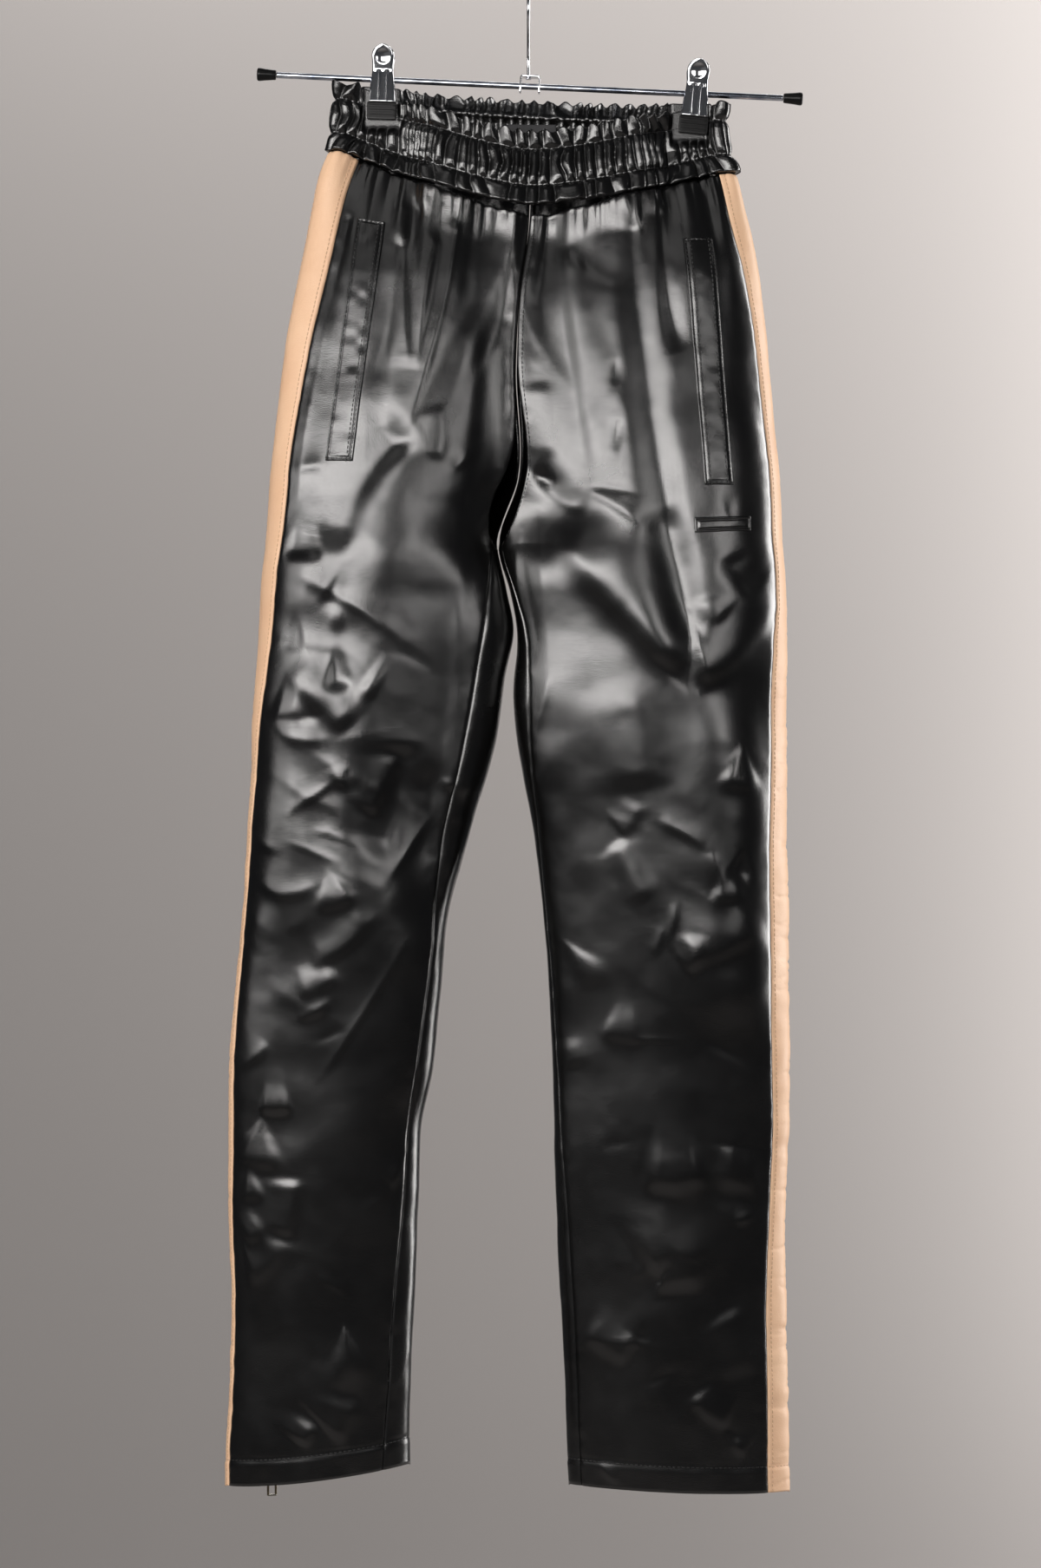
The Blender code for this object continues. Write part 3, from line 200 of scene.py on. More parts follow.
# Sharp creases of the front: the same columns
FRONT_CREASES = np.array([
    (-23.7, -421.8, -29.4, -431.4, -16, -443.5, 2.53, 1.26),
    (-13.4, -417.9, -12.8, -444.2, -2.6, -479.4, 2.88, 1.44),
    (-1.3, -405.8, 11.5, -444.2, 12.2, -503.7, 2.88, 0.86),
    (-9, -431.4, 1.3, -463.4, 5.1, -498.6, 2.88, -0.86),
    (-1.3, -513.3, 1.3, -518.4, 4.5, -522.2, 2.3, 0.69),
    (13.4, -522.2, 12.8, -537.6, 4.5, -562.6, 3.45, 1.03),
    (-11.5, -544, -6.4, -542.7, -2.6, -545.3, 3.45, 1.03),
    (-3.8, -591.4, 1.3, -591.4, 7, -597.8, 3.45, 1.03), (64, -291, 64, -303, 62, -310, 2.88, -1.2),
    (66, -335, 64, -348, 63, -359, 2.88, -1.4), (40, -385, 60, -386, 80, -390, 2.3, -0.8),
    (40, -386, 65, -397, 81, -413, 4.6, 1.6), (-92, -184, -95, -241, -88, -296, 4.02, 2.01),
    (-71, -209, -81, -266, -83, -298, 4.6, 2.3), (-55, -199, -64, -266, -91, -348, 4.02, 2.01),
    (-8, -184, -12, -221, -13, -258, 4.6, 2.3), (-160, -452, -128, -469, -93, -494, 4.6, 1.38),
    (-140, -229, -158, -303, -168, -382, 2.88, 1.44),
    (-134, -194, -152, -283, -160, -323, 4.02, -2.01),
    (-170, -372, -158, -367, -150, -369, 4.6, 1.4), (-54, -372, -47, -366, -40, -361, 3.45, 1.2),
    (16, -382, 6, -380, -3, -375, 4.6, -2), (-188, -551, -170, -555, -151, -550, 4.6, -1.38),
    (-182, -558, -170, -571, -151, -568, 4.6, 1.38),
    (-143, -588, -138, -601, -131, -599, 4.6, 1.38),
    (-172, -620, -151, -605, -141, -598, 2.88, 0.86),
    (-200, -634, -195, -646, -183, -647, 4.6, 1.38),
    (-155, -634, -140, -637, -121, -646, 1.61, 0.48),
    (-175, -642, -156, -649, -134, -659, 1.61, 0.48),
    (-198, -668, -179, -690, -156, -673, 4.6, 1.38),
    (-169, -770, -156, -768, -144, -756, 4.6, 1.38),
    (-149, -809, -117, -764, -91, -716, 2.88, 0.86), (-103, -670, -84, -647, -69, -625, 4.6, 1.38),
    (-62, -596, -57, -606, -49, -598, 3.45, 1.03), (-51, -604, -43, -606, -34, -599, 3.45, 1.03),
    (-62, -683, -56, -659, -41, -626, 4.6, 1.38), (-211, -806, -198, -799, -190, -789, 4.6, 1.38),
    (-102, -893, -96, -888, -93, -871, 4.6, 1.38), (-99, -1043, -92, -1023, -86, -1009, 3.45, 1.03),
    (94, -627, 110, -633, 127, -644, 4.6, 1.38), (106, -687, 105, -701, 100, -713, 2.3, 0.69),
    (97, -703, 93, -719, 90, -723, 2.3, 0.69), (71, -787, 87, -785, 108, -786, 1.61, 0.48),
    (131, -649, 134, -661, 138, -673, 4.6, 1.38), (135, -862, 154, -865, 172, -868, 2.3, -0.69),
    (149, -918, 158, -919, 165, -912, 4.02, 1.21), (149, -1078, 153, -1086, 158, -1089, 4.6, 1.38),
    (52, -1096, 57, -1105, 66, -1109, 3.45, 1),
], dtype=float)


# ---------------------------------------------------------------- shared arithmetic


def table_value(table: Array, column: int, z: Array) -> Array:
    """Value of a table's column at height z, on a cubic through its rows.

    Args:
        table: rows from top to bottom; column 0 is the height in mm.
        column: the column to read.
        z: heights in metres.

    Returns:
        Values in the table's own unit. Between two rows the value is the cubic that keeps both
        rows' values and mean slopes.
    """
    heights = table[:, 0] * MM
    values = table[:, column]
    slopes = np.gradient(values, heights)
    z = np.clip(z, heights[-1], heights[0])
    index = np.clip(np.searchsorted(-heights, -z, side="right") - 1, 0, len(table) - 2)
    span = heights[index + 1] - heights[index]
    t = (z - heights[index]) / span
    blend = (2 * t**3 - 3 * t**2 + 1) * values[index] + (3 * t**2 - 2 * t**3) * values[index + 1]
    slope = (t**3 - 2 * t**2 + t) * slopes[index] + (t**3 - t**2) * slopes[index + 1]
    return blend + slope * span


def ramp(value: Array, reach: float) -> Array:
    """value / reach, kept between 0 and 1."""
    return np.clip(value / reach, 0, 1)


def bell(distance: Array, width: float) -> Array:
    """exp(-(distance / width) ** 2)."""
    return np.exp(-((distance / width) ** 2))


def fade(distance: Array, flat: float, reach: float) -> Array:
    """1 within flat, falling on a squared cosine to 0 over reach."""
    return np.cos(ramp(np.abs(distance) - flat, reach) * math.pi / 2) ** 2


def soft_noise(points: Array, size: object, seed: int) -> Array:
    """Smooth irregular values between -1 and 1.

    Formula: random numbers on a lattice of the given cell size, blended between the eight
    corners of each cell with smooth shares t * t * (3 - 2t).

    Args:
        points: places, an array ending in x, y, z.
        size: cell size in mm, one number or one an axis.
        seed: which set of random numbers.

    Returns:
        One value a point.
    """
    table = np.random.default_rng(seed).uniform(-1, 1, (32, 32, 32))
    scaled = points / (np.asarray(size) * MM) + 7.3
    cell = np.floor(scaled).astype(int)
    share = scaled - cell
    share = share * share * (3 - 2 * share)
    total = np.zeros(points.shape[:-1])
    for corner in np.ndindex(2, 2, 2):
        index = (cell + np.array(corner)) % 32
        weight = np.prod(np.where(np.array(corner) == 1, share, 1 - share), axis=-1)
        total = total + weight * table[index[..., 0], index[..., 1], index[..., 2]]
    return total


def unit(vectors: Array) -> Array:
    """Vectors divided by their lengths."""
    return vectors / np.maximum(np.linalg.norm(vectors, axis=-1, keepdims=True), 1e-12)


def middle_of(grid: Array) -> Array:
    """What a grid holds at its middle."""
    return grid[grid.shape[0] // 2, grid.shape[1] // 2]


def arc_length(points: Array) -> Array:
    """Distance along lines of points, each from its first point."""
    steps = np.linalg.norm(np.diff(points, axis=-2), axis=-1)
    start = np.zeros((*steps.shape[:-1], 1))
    return np.concatenate([start, np.cumsum(steps, axis=-1)], axis=-1)


def wrapped(angle: Array) -> Array:
    """Angles up to 2 pi as angles between -pi and pi."""
    return np.where(angle > math.pi, angle - 2 * math.pi, angle)


def grid_normals(points: Array) -> Array:
    """Unit normals of a grid: the cross product of its slopes along columns and rows."""
    return unit(np.cross(np.gradient(points, axis=1), np.gradient(points, axis=0)))


# Steps along a crease's line; creases that start above this height and are narrower than this
# width run on from the waist seam
LINE_STEPS = 24
WAIST_START = -0.215
WIDEST_CREASE = 0.02


def crease_height(creases: Array, x: Array, z: Array, skew: float, sharp: bool = False) -> Array:
    """Sum of the creases at x, z.

    Formula: each crease is height * strength * exp(-(d / w)^2 / 2), where d is the distance to
    a curved line, w is wider on its upper side than on its lower side by the skew, and the
    strength rises from 0 to 1 and falls again near the ends. A sharp crease has
    exp(-(sqrt(d^2 + e^2) - e) / w) with e = 0.4 w, and the strength sin(pi * along) ** 0.7. A
    crease that starts at the waist seam is full there and falls as cos(pi / 2 * along) ** 0.6.

    Args:
        creases: rows of start, middle, end, half width and height, in mm.
        x: places across in metres.
        z: heights in metres.
        skew: 0 for even flanks, up to 0.8 for one steep flank.
        sharp: whether the crests are narrow with long flanks.

    Returns:
        Heights in metres.
    """
    total = np.zeros(x.shape)
    for x0, z0, x1, z1, x2, z2, width, height in creases * MM:
        reach = (5.5 if sharp else 4.2) * width
        near = (x > min(x0, x1, x2) - reach) & (x < max(x0, x1, x2) + reach)
        near &= (z > min(z0, z1, z2) - reach) & (z < max(z0, z1, z2) + reach)
        if not near.any():
            continue
        place = np.stack([x[near], z[near]], axis=1)
        t = np.linspace(0, 1, LINE_STEPS + 1)[:, None]
        knots = np.array([[x0, z0], [x1, z1], [x2, z2]])
        line = (1 - t) ** 2 * knots[0] + 2 * t * (1 - t) * knots[1] + t**2 * knots[2]
        tangent = np.gradient(line, axis=0)
        nearest = ((place[:, None] - line) ** 2).sum(axis=2).argmin(axis=1)
        away, along = place - line[nearest], tangent[nearest]
        step = np.clip((away * along).sum(axis=1) / (along**2).sum(axis=1), -1, 1)
        squared = ((away - step[:, None] * along) ** 2).sum(axis=1)
        length = np.hypot(along[:, 0], along[:, 1])
        turn = along[:, 0] * away[:, 1] - along[:, 1] * away[:, 0]
        turn = np.tanh(turn / (length * width * 0.6))
        upper = np.tanh((along[:, 0] + 0.5 * along[:, 1]) / length * 4)
        spread = width * (1 + skew * upper * turn)
        share = np.clip((nearest + step) / LINE_STEPS, 0, 1)
        if z0 > WAIST_START and width < WIDEST_CREASE:
            strength = np.cos(share * math.pi / 2) ** 0.6
        elif sharp:
            strength = np.sin((share * 0.92 + 0.04) * math.pi) ** 0.7
        else:
            whole = math.hypot(x1 - x0, z1 - z0) + math.hypot(x2 - x1, z2 - z1)
            ends = min(max(1.3 * width / whole, 0.2), 0.5)
            strength = (1 - fade(share, 0.0, ends)) * (1 - fade(1 - share, 0.0, ends))
        if sharp:
            blunt = 0.4 * width
            flank = (blunt - np.sqrt(squared + blunt**2)) / spread
        else:
            flank = -squared / (2 * spread**2)
        total[near] += height * strength * np.exp(flank)
    return total


# ---------------------------------------------------------------- garment form


@dataclass(frozen=True)
class TrouserForm:
    """The hanging shape: sections, waist, hem, folds, clips and seams. Metres."""

    seam_gap: float = 0.35 * MM
    pucker: float = 2.0 * MM
    long_pucker: float = 1.25 * MM
    crumple_lump: float = 1.6 * MM
    crumple_ridge: float = 1.5 * MM
    crumple_shift: float = 9 * MM
    waist: float = -145.0 * MM
    hip: float = -233.0 * MM
    crotch: float = -425.0 * MM
    ankle: float = -1035.0 * MM
    hem: float = -1119.0 * MM
    stripe_width: float = 36.0 * MM
    band_half: float = 143.0 * MM
    band_top: Pair = (-84.5 * MM, -99.0 * MM)
    band_seam: Pair = (-135.0 * MM, -150.5 * MM)
    band_seam_gap: float = 0.6 * MM
    seam_sag: float = 36.0 * MM
    top_sag: Pair = (32.5 * MM, 1.5 * MM)
    jaw_places: Pair = (-109.0 * MM, 118.0 * MM)
    clamp_depth: float = 2.2 * MM
    clamp_flat: float = 12.5 * MM
    clamp_reach: float = 30.0 * MM
    clamp_fade: float = 95.0 * MM
    jaw_heights: Pair = (-106.5 * MM, -116.0 * MM)
    jaw_half: Pair = (11.5 * MM, 8.5 * MM)
    jaw_fade: Pair = (5.0 * MM, 8.0 * MM)
    zip_top: float = -0.955
    zip_places: Pair = (-192.5 * MM, 176.0 * MM)
    pleat_pitch: float = 7.7 * MM
    front_lift: float = 4.5 * MM

    def seam_cosine(self, z: Array) -> Array:
        """Cosine of the angle at which a section meets the centre seam."""
        drop = ramp(self.hip - z, self.hip - self.crotch)
        return 1 - (1 - drop**2) ** 1.5

    def section(self, side: Side, z: Array) -> tuple[Array, Array]:
        """Middle and half width of a side's section at height z."""
        outer = table_value(SIDE_TABLES[side], 1, z) * MM
        inner = table_value(SIDE_TABLES[side], 2, z) * MM
        cosine = self.seam_cosine(z)
        inner = inner + side.sign * self.seam_gap / 2 * (2 - np.sqrt(1 - cosine**2))
        half = np.abs(outer - inner) / (1 + cosine)
        return outer - side.sign * half, half

    def clamp_weight(self, x: Array, z: Array) -> Array:
        """How far the clips press the cloth flat at x, z, from 0 to 1."""
        below = ramp(self.band_seam[0] - z, self.clamp_fade)
        weight = np.zeros(np.shape(x))
        for place in self.jaw_places:
            weight = np.maximum(weight, fade(x - place, self.clamp_flat, self.clamp_reach))
        return weight * (1 - below) ** 2

    def under_jaw(self, x: Array, z: Array) -> Array:
        """1 where a jaw and its plate lie on the band, falling to 0 beside and below them."""
        covered = np.zeros(np.shape(x))
        for place, height in zip(self.jaw_places, self.jaw_heights):
            beside = fade(x - place, self.jaw_half[0], self.jaw_fade[0])
            below = fade(np.minimum(z - height, 0), self.jaw_half[1], self.jaw_fade[1])
            covered = np.maximum(covered, beside * below)
        return covered

    def base(self, side: Side, angle: Array, z: Array) -> Array:
        """The smooth surface: depth * |sin(angle)| ** blunt, pressed flat under the clips."""
        middle, half = self.section(side, z)
        x = middle - side.sign * half * np.cos(angle)
        front = angle > 0
        depth = np.where(front, table_value(DEPTHS, 1, z), table_value(DEPTHS, 2, z)) * MM
        rise = depth * np.abs(np.sin(angle)) ** table_value(DEPTHS, 3, z)
        weight = self.clamp_weight(x, z)
        pressed = self.clamp_depth * np.tanh(rise / self.clamp_depth)
        rise = rise * (1 - weight) + pressed * weight
        return np.stack([x, np.where(front, -1, 1) * rise, z], axis=-1)

    def base_normal(self, side: Side, angle: Array, z: Array) -> Array:
        """Unit normals out of the smooth surface, from its slopes."""
        turn, step = 0.02, 1.5 * MM
        around = self.base(side, angle + turn, z) - self.base(side, angle - turn, z)
        down = self.base(side, angle, z - step) - self.base(side, angle, z + step)
        return unit(np.cross(around, down) * -side.sign)

    def waist_x(self, side: Side, angle: Array) -> Array:
        """Where a column of the garment starts at the waist, seen from the front."""
        middle, half = self.section(side, np.full(np.shape(angle), self.waist))
        return middle - side.sign * half * np.cos(angle)

    def line_height(self, x: Array, ends: Pair, sag: Array) -> Array:
        """Height of a waist line at x: straight between the sides less a sag in the middle."""
        share = ramp(np.abs(x), self.band_half)
        across = (x + self.band_half) / (2 * self.band_half)
        return ends[0] + (ends[1] - ends[0]) * across - sag * (1 - share**1.5) ** 1.2

    def waist_height(self, side: Side, angle: Array) -> Array:
        """Height of the seam between waistband and panels."""
        sag = np.where(angle > 0, self.seam_sag, 0.0)
        return self.line_height(self.waist_x(side, angle), self.band_seam, sag)

    def top_height(self, side: Side, angle: Array) -> Array:
        """Height of the waistband's top edge."""
        sag = np.where(angle > 0, self.top_sag[0], self.top_sag[1])
        return self.line_height(self.waist_x(side, angle), self.band_top, sag)

    def hem_drop(self, side: Side, x: Array) -> Array:
        """How far the hem lies below its level row: a slant on the right, a bow on the left."""
        if side is Side.RIGHT:
            share = ramp(x + 223.5 * MM, 136.5 * MM)
            return (-1.0 - 16.0 * share**1.5) * MM
        share = ramp(x - 30.0 * MM, 162.0 * MM)
        return (-2.2 + 5.6 * np.sin(share * 0.6 * math.pi)) * MM

    def seam_angles(self, side: Side, levels: Array) -> Array:
        """Angles of the four seams at some levels, one row a seam.

        Formula: a seam that lies s in from the edge of a section of half width h stands at
        acos(1 - s / h) from that edge. The stripe's back seam is where the arc length along the
        section from its front seam reaches the stripe's width.

        Args:
            side: which side.
            levels: heights of the rows.

        Returns:
            Front inner, stripe front, stripe back and back inner angles, up to 2 pi.
        """
        half = self.section(side, levels)[1]
        inseam = np.clip(table_value(SIDE_TABLES[side], 3, levels) * MM, 0, half)
        inseam_angle = np.arccos(1 - inseam / half)
        below = levels < self.crotch - 1e-6
        start = np.where(below, inseam_angle, np.arccos(self.seam_cosine(levels)))
        stripe = table_value(SIDE_TABLES[side], 4, levels) * MM
        stripe_front = math.pi - np.arccos(1 - stripe / half)
        coarse = np.linspace(levels.max(), levels.min(), 90)
        coarse_front = np.interp(-coarse, -levels, stripe_front)
        turns = np.linspace(0, 2.6, 200)
        angles = coarse_front[:, None] + turns
        level = np.broadcast_to(coarse[:, None], angles.shape)
        points = self.base(side, wrapped(angles), level)
        arc = np.cumsum(np.linalg.norm(np.diff(points, axis=1), axis=-1), axis=1)
        turn = [np.interp(self.stripe_width, row, turns[1:]) for row in arc]
        stripe_back = stripe_front + np.interp(-levels, -coarse, np.array(turn))
        end = 2 * math.pi + np.where(below, inseam_angle, -start)
        return np.stack([start, stripe_front, stripe_back, end])

    def pleat_phase(self, side: Side, angle: Array) -> Array:
        """Phase of the gathers, pi a pleat, counted along the waist from the centre seam.

        Formula: pi * (s / pitch + 0.22 * wander), s being the arc length at the waist and wander
        two sines of it, so that some pleats are wide and some narrow.
        """
        turns = np.linspace(math.pi / 2, math.pi, 400)
        distance = np.zeros(np.shape(angle))
        for face in Face:
            line = self.base(side, turns * face.turn, np.full(400, self.waist))
            chosen = (angle > 0) == (face is Face.FRONT)
            along = np.interp(np.abs(angle), turns, arc_length(line))
            distance = np.where(chosen, along, distance)
        place = side.sign * distance
        wander = 0.9 * np.sin(place * 143.0) + 0.7 * np.sin(place * 80.0 + 1.0)
        return math.pi * (place / self.pleat_pitch + 0.22 * wander)

    def puckers(self, side: Side, angle: Array, base: Array) -> Array:
        """Gathers that run on below the waist seam, and the longer folds that they grow into.

        Formula: (|sin(phase)| ** 0.8 - 0.55) * 2 mm * exp(-d / reach), d being the depth below
        the seam and reach 5 to 21 mm, uneven from pleat to pleat; and 1.25 mm * sin(0.6 * phase
        + wander) * exp(-(d / 90 mm) ** 2) for the long folds.
        """
        phase = self.pleat_phase(side, angle)
        below = np.clip(self.waist_height(side, angle) - base[..., 2], 0, 1)
        reach = (13 + 8 * np.sin(np.floor(phase / math.pi) * 2.3)) * MM
        wave = np.abs(np.sin(phase)) ** 0.8 - 0.55
        short = self.pucker * wave * np.exp(-below / reach)
        bend = soft_noise(base, (45, 60, 80), 37)
        long = self.long_pucker * np.sin(0.6 * phase + 1.8 * bend) * bell(below, 90 * MM)
        return (short + long) * np.abs(np.sin(angle)) ** 0.3

    def crumple(self, x: Array, z: Array, base: Array) -> Array:
        """Soft crumpled relief of the knees and shins.

        Formula: 1.6 mm of noise in slanting 75 by 26 mm cells and 1.5 mm * (0.35 - |noise|) in
        70 by 20 mm cells that slant the other way, the places shifted by a coarser noise, times
        a weight that is high at the middles listed and falls as a Gaussian.

        Args:
            x: places across, turned so that front and back differ.
            z: heights.
            base: the points.

        Returns:
            Heights in metres.
        """
        weight = np.zeros(x.shape)
        for place, height, wide, tall, most in CRUMPLES:
            away = ((x / MM - place) / wide) ** 2 + ((z / MM - height) / tall) ** 2
            weight = np.maximum(weight, most * np.exp(-away))
        shift = np.stack([soft_noise(base, 40, 38 + axis) for axis in range(3)], axis=-1)
        turned = base + self.crumple_shift * shift
        total = np.zeros(x.shape)
        for slant, cells, seed in ((0.5, (75, 80, 26), 42), (-0.45, (70, 80, 20), 43)):
            along = turned[..., 0] * math.cos(slant) + turned[..., 2] * math.sin(slant)
            down = turned[..., 2] * math.cos(slant) - turned[..., 0] * math.sin(slant)
            place = np.stack([along, turned[..., 1], down], axis=-1)
            noise = soft_noise(place, cells, seed)
            ridge = self.crumple_ridge * (0.35 - np.abs(noise))
            total += self.crumple_lump * noise if slant > 0 else ridge
        return weight * total

    def folds(self, side: Side, angle: Array, base: Array) -> Array:
        """Height of the broad folds, the creases, the puckers and the cloth's own unevenness.

        Formula: each layer of folds or creases as seen from the front or the back, times a power
        of the share of the surface that faces that way, plus soft noise, puckers and crumples.
        Beside a zip nine tenths of it is taken away.

        Args:
            side: which side.
            angle: angles of the points.
            base: the points on the smooth surface.

        Returns:
            Heights along the surface's normal, in metres.
        """
        x, z = base[..., 0], base[..., 2]
        edge = np.abs(np.sin(angle))
        front = angle > 0
        total = np.zeros(x.shape)
        for face, layers in CREASE_LAYERS.items():
            facing = front if face is Face.FRONT else ~front
            for creases, skew, sharp, power in layers:
                height = crease_height(creases, x[facing], z[facing], skew, sharp)
                total[facing] += height * edge[facing] ** power
        for height, cell, seed in UNEVENNESS:
            total += height * MM * soft_noise(base, cell, seed)
        total += self.puckers(side, angle, base)
        total += self.crumple(x, z, base) * (0.3 + 0.7 * edge)
        for place in self.zip_places:
            zip_side = fade(x - place, 8 * MM, 14 * MM) * ~front
            total = total * (1 - 0.9 * zip_side * ramp(self.zip_top - z, 0.02))
        return total

    def surface(self, side: Side, angle: Array, z: Array) -> Array:
        """Points of the folded outer surface."""
        base = self.base(side, angle, z)
        height = self.folds(side, angle, base)
        return base + self.base_normal(side, angle, z) * height[..., None]

    def front_angle(self, side: Side, x: Array, z: Array) -> Array:
        """Angle of the front surface's point at x, z: acos of the share of the half width."""
        middle, half = self.section(side, z)
        return np.arccos(np.clip((middle - x) * side.sign / half, -0.999, 0.999))


def small_creases(seed: int, count: int) -> Array:
    """Short random creases over both legs, mostly level or slanting down to the knee.

    Formula: each starts at a random place, runs 14 to 46 mm at a slant within 40 degrees of
    level, and bows by up to a fifth of its length.

    Args:
        seed: which set.
        count: how many.

    Returns:
        Rows in the form of the crease tables, in mm.
    """
    draw = np.random.default_rng(seed)
    side = np.where(draw.random(count) < 0.5, -1, 1)
    z = draw.uniform(-1090, -440, count)
    x = side * draw.uniform(45, 175, count)
    length = draw.uniform(14, 46, count)
    slant = draw.uniform(-0.7, 0.7, count)
    bow = draw.uniform(-0.2, 0.2, count) * length
    x1, z1 = x + length * np.cos(slant) / 2, z + length * np.sin(slant) / 2 + bow
    x2, z2 = x + length * np.cos(slant), z + length * np.sin(slant)
    width = draw.uniform(2.6, 5.0, count)
    height = draw.uniform(0.25, 0.6, count) * np.where(draw.random(count) < 0.5, -1, 1)
    return np.stack([x, z, x1, z1, x2, z2, width, height], axis=1)


# Of each face: creases, skew of their flanks, whether sharp, and the power of the share facing it
CREASE_LAYERS = {
    Face.FRONT: (
        (FRONT_FOLDS, 0.35, False, 0.5),
        (FRONT_CREASES, 0.4, True, 0.5),
        (small_creases(11, 24), 0.4, True, 1.0),
    ),
    Face.BACK: ((BACK_FOLDS, 0.3, False, 1.0), (small_creases(12, 110), 0.4, True, 1.0)),
}
# The cloth's own unevenness: height and cell size in mm, and seed
UNEVENNESS = ((1.3, 60, 1), (0.5, 24, 2), (0.08, 9, 3))


# ---------------------------------------------------------------- meshes


def linked(name: str, data: object) -> Object:
    """An object in the scene that holds some data."""
    made = bpy.data.objects.new(name, data)
    bpy.context.scene.collection.objects.link(made)
    return made


def mesh_object(name: str, points: Array, faces: list, finish: Material) -> Object:
    """A smooth-shaded mesh object at the origin.

    Args:
        name: its name.
        points: places, any array ending in x, y, z.
        faces: corner numbers of each face.
        finish: its material.

    Returns:
        The object.
    """
    mesh = bpy.data.meshes.new(name)
    mesh.from_pydata(points.reshape(-1, 3).tolist(), [], faces)
    mesh.materials.append(finish)
    mesh.shade_smooth()
    mesh.validate()
    return linked(name, mesh)


def add_piece(name: str, points: Array, faces: list, finish: str, body: str = BODY) -> Object:
    """A mesh object that rides a body."""
    piece = mesh_object(name, points, faces, material(finish))
    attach(piece, body)
    return piece


def grid_faces(rows: int, columns: int, closed: bool = False, flip: bool = False) -> list:
    """Quads of a grid of points, as lists of corner numbers.

    Args:
        rows: rows of points.
        columns: points in each row.
        closed: whether the last column joins the first.
        flip: whether the faces turn over.

    Returns:
        The faces.
    """
    across = np.arange(columns if closed else columns - 1)
    a = (np.arange(rows - 1)[:, None] * columns + across).ravel()
    b = (np.arange(rows - 1)[:, None] * columns + (across + 1) % columns).ravel()
    quads = np.stack([a, a + columns, b + columns, b], axis=1)
    return (quads[:, ::-1] if flip else quads).tolist()


def ring_faces(rings: int, sides: int) -> list:
    """Faces of a closed tube: quads between the rings and one face on each end."""
    last = list(range((rings - 1) * sides, rings * sides))
    return grid_faces(rings, sides, closed=True) + [list(range(sides)), last[::-1]]


def copied_faces(faces: list, points: int, count: int) -> list:
    """The faces of a shape of so many points, once for each of its copies."""
    return [[index + points * k for index in face] for k in range(count) for face in faces]


def add_sheet(
    name: str,
    points: Array,
    finish: str,
    thickness: float,
    outward: Array,
    offset: float = -1.0,
) -> Object:
    """A sheet on a grid of points, thickened from them.

    Args:
        name: the piece's name.
        points: its surface, rows down and columns across.
        finish: its finish's name.
        thickness: how thick it is.
        outward: a direction out of the surface at the grid's middle.
        offset: -1 to thicken it inwards, 0 to both sides.

    Returns:
        The object.
    """
    rows, columns = points.shape[:2]
    row, column = rows // 2, columns // 2
    a, b, c = points[row, column], points[row + 1, column], points[row, column + 1]
    flip = float(np.dot(np.cross(b - a, c - a), outward)) < 0
    piece = add_piece(name, points, grid_faces(rows, columns, flip=flip), finish)
    wall = piece.modifiers.new("wall", "SOLIDIFY")
    wall.thickness = thickness
    wall.offset = offset
    return piece


def add_cloth(
    name: str,
    node: str,
    points: Array,
    outward: Array,
    finish: str,
    slot: str,
    thickness: float,
    **cut: object,
) -> Object:
    """A sheet of cloth that stands for one of the part's solids.

    Args:
        name: the piece's name.
        node: the solid that it stands for.
        points: its outer surface.
        outward: a direction out of it at its middle.
        finish: its finish's name.
        slot: the record's slot; not used.
        thickness: how thick it is.
        **cut: how the cloth was cut and is held; not used.

    Returns:
        The object.
    """
    piece = add_sheet(name, points, finish, thickness, outward)
    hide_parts(node)
    log_piece(piece)
    return piece


def sweep(route: Array, radii: Array, sides: int, aside: Array) -> Shape:
    """A round rod along a route with closed ends.

    Formula: ring k is route[k] + radius * (cos(t) * u + sin(t) * v), with u and v at right
    angles to the route, u nearest to the given direction.

    Args:
        route: middle points.
        radii: one radius a point.
        sides: points in a ring.
        aside: a direction that the route never follows.

    Returns:
        Points and faces.
    """
    along = unit(np.gradient(route, axis=0))
    v = unit(np.cross(along, aside))
    u = np.cross(v, along)
    t = np.arange(sides) * 2 * math.pi / sides
    rings = route[:, None] + radii[:, None, None] * (
        np.cos(t)[None, :, None] * u[:, None] + np.sin(t)[None, :, None] * v[:, None]
    )
    return rings.reshape(-1, 3), ring_faces(len(route), sides)


def join(parts: list) -> Shape:
    """Several (points, faces) as one."""
    points, faces, shift = [], [], 0
    for part_points, part_faces in parts:
        points.append(part_points)
        faces += [[index + shift for index in face] for face in part_faces]
        shift += len(part_points)
    return np.concatenate(points), faces


def face_outwards(piece: Object) -> None:
    """Turn a closed mesh's faces outwards."""
    work = bmesh.new()
    work.from_mesh(piece.data)
    bmesh.ops.recalc_face_normals(work, faces=work.faces)
    work.to_mesh(piece.data)
    work.free()


def log_piece(piece: Object) -> None:
    """Report a piece's name and number of faces."""
    LOG.info("%s: %d faces", piece.name, len(piece.data.polygons))


def add_solid(name: str, shape: tuple, finish: str, slot: str, *nodes: str) -> Object:
    """A closed piece.

    Args:
        name: the piece's name.
        shape: its points and faces.
        finish: its finish's name.
        slot: the record's slot; not used.
        *nodes: the solids that it stands for, if any.

    Returns:
        The object.
    """
    piece = add_piece(name, *shape, finish)
    face_outwards(piece)
    if nodes:
        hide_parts(*nodes)
    log_piece(piece)
    return piece


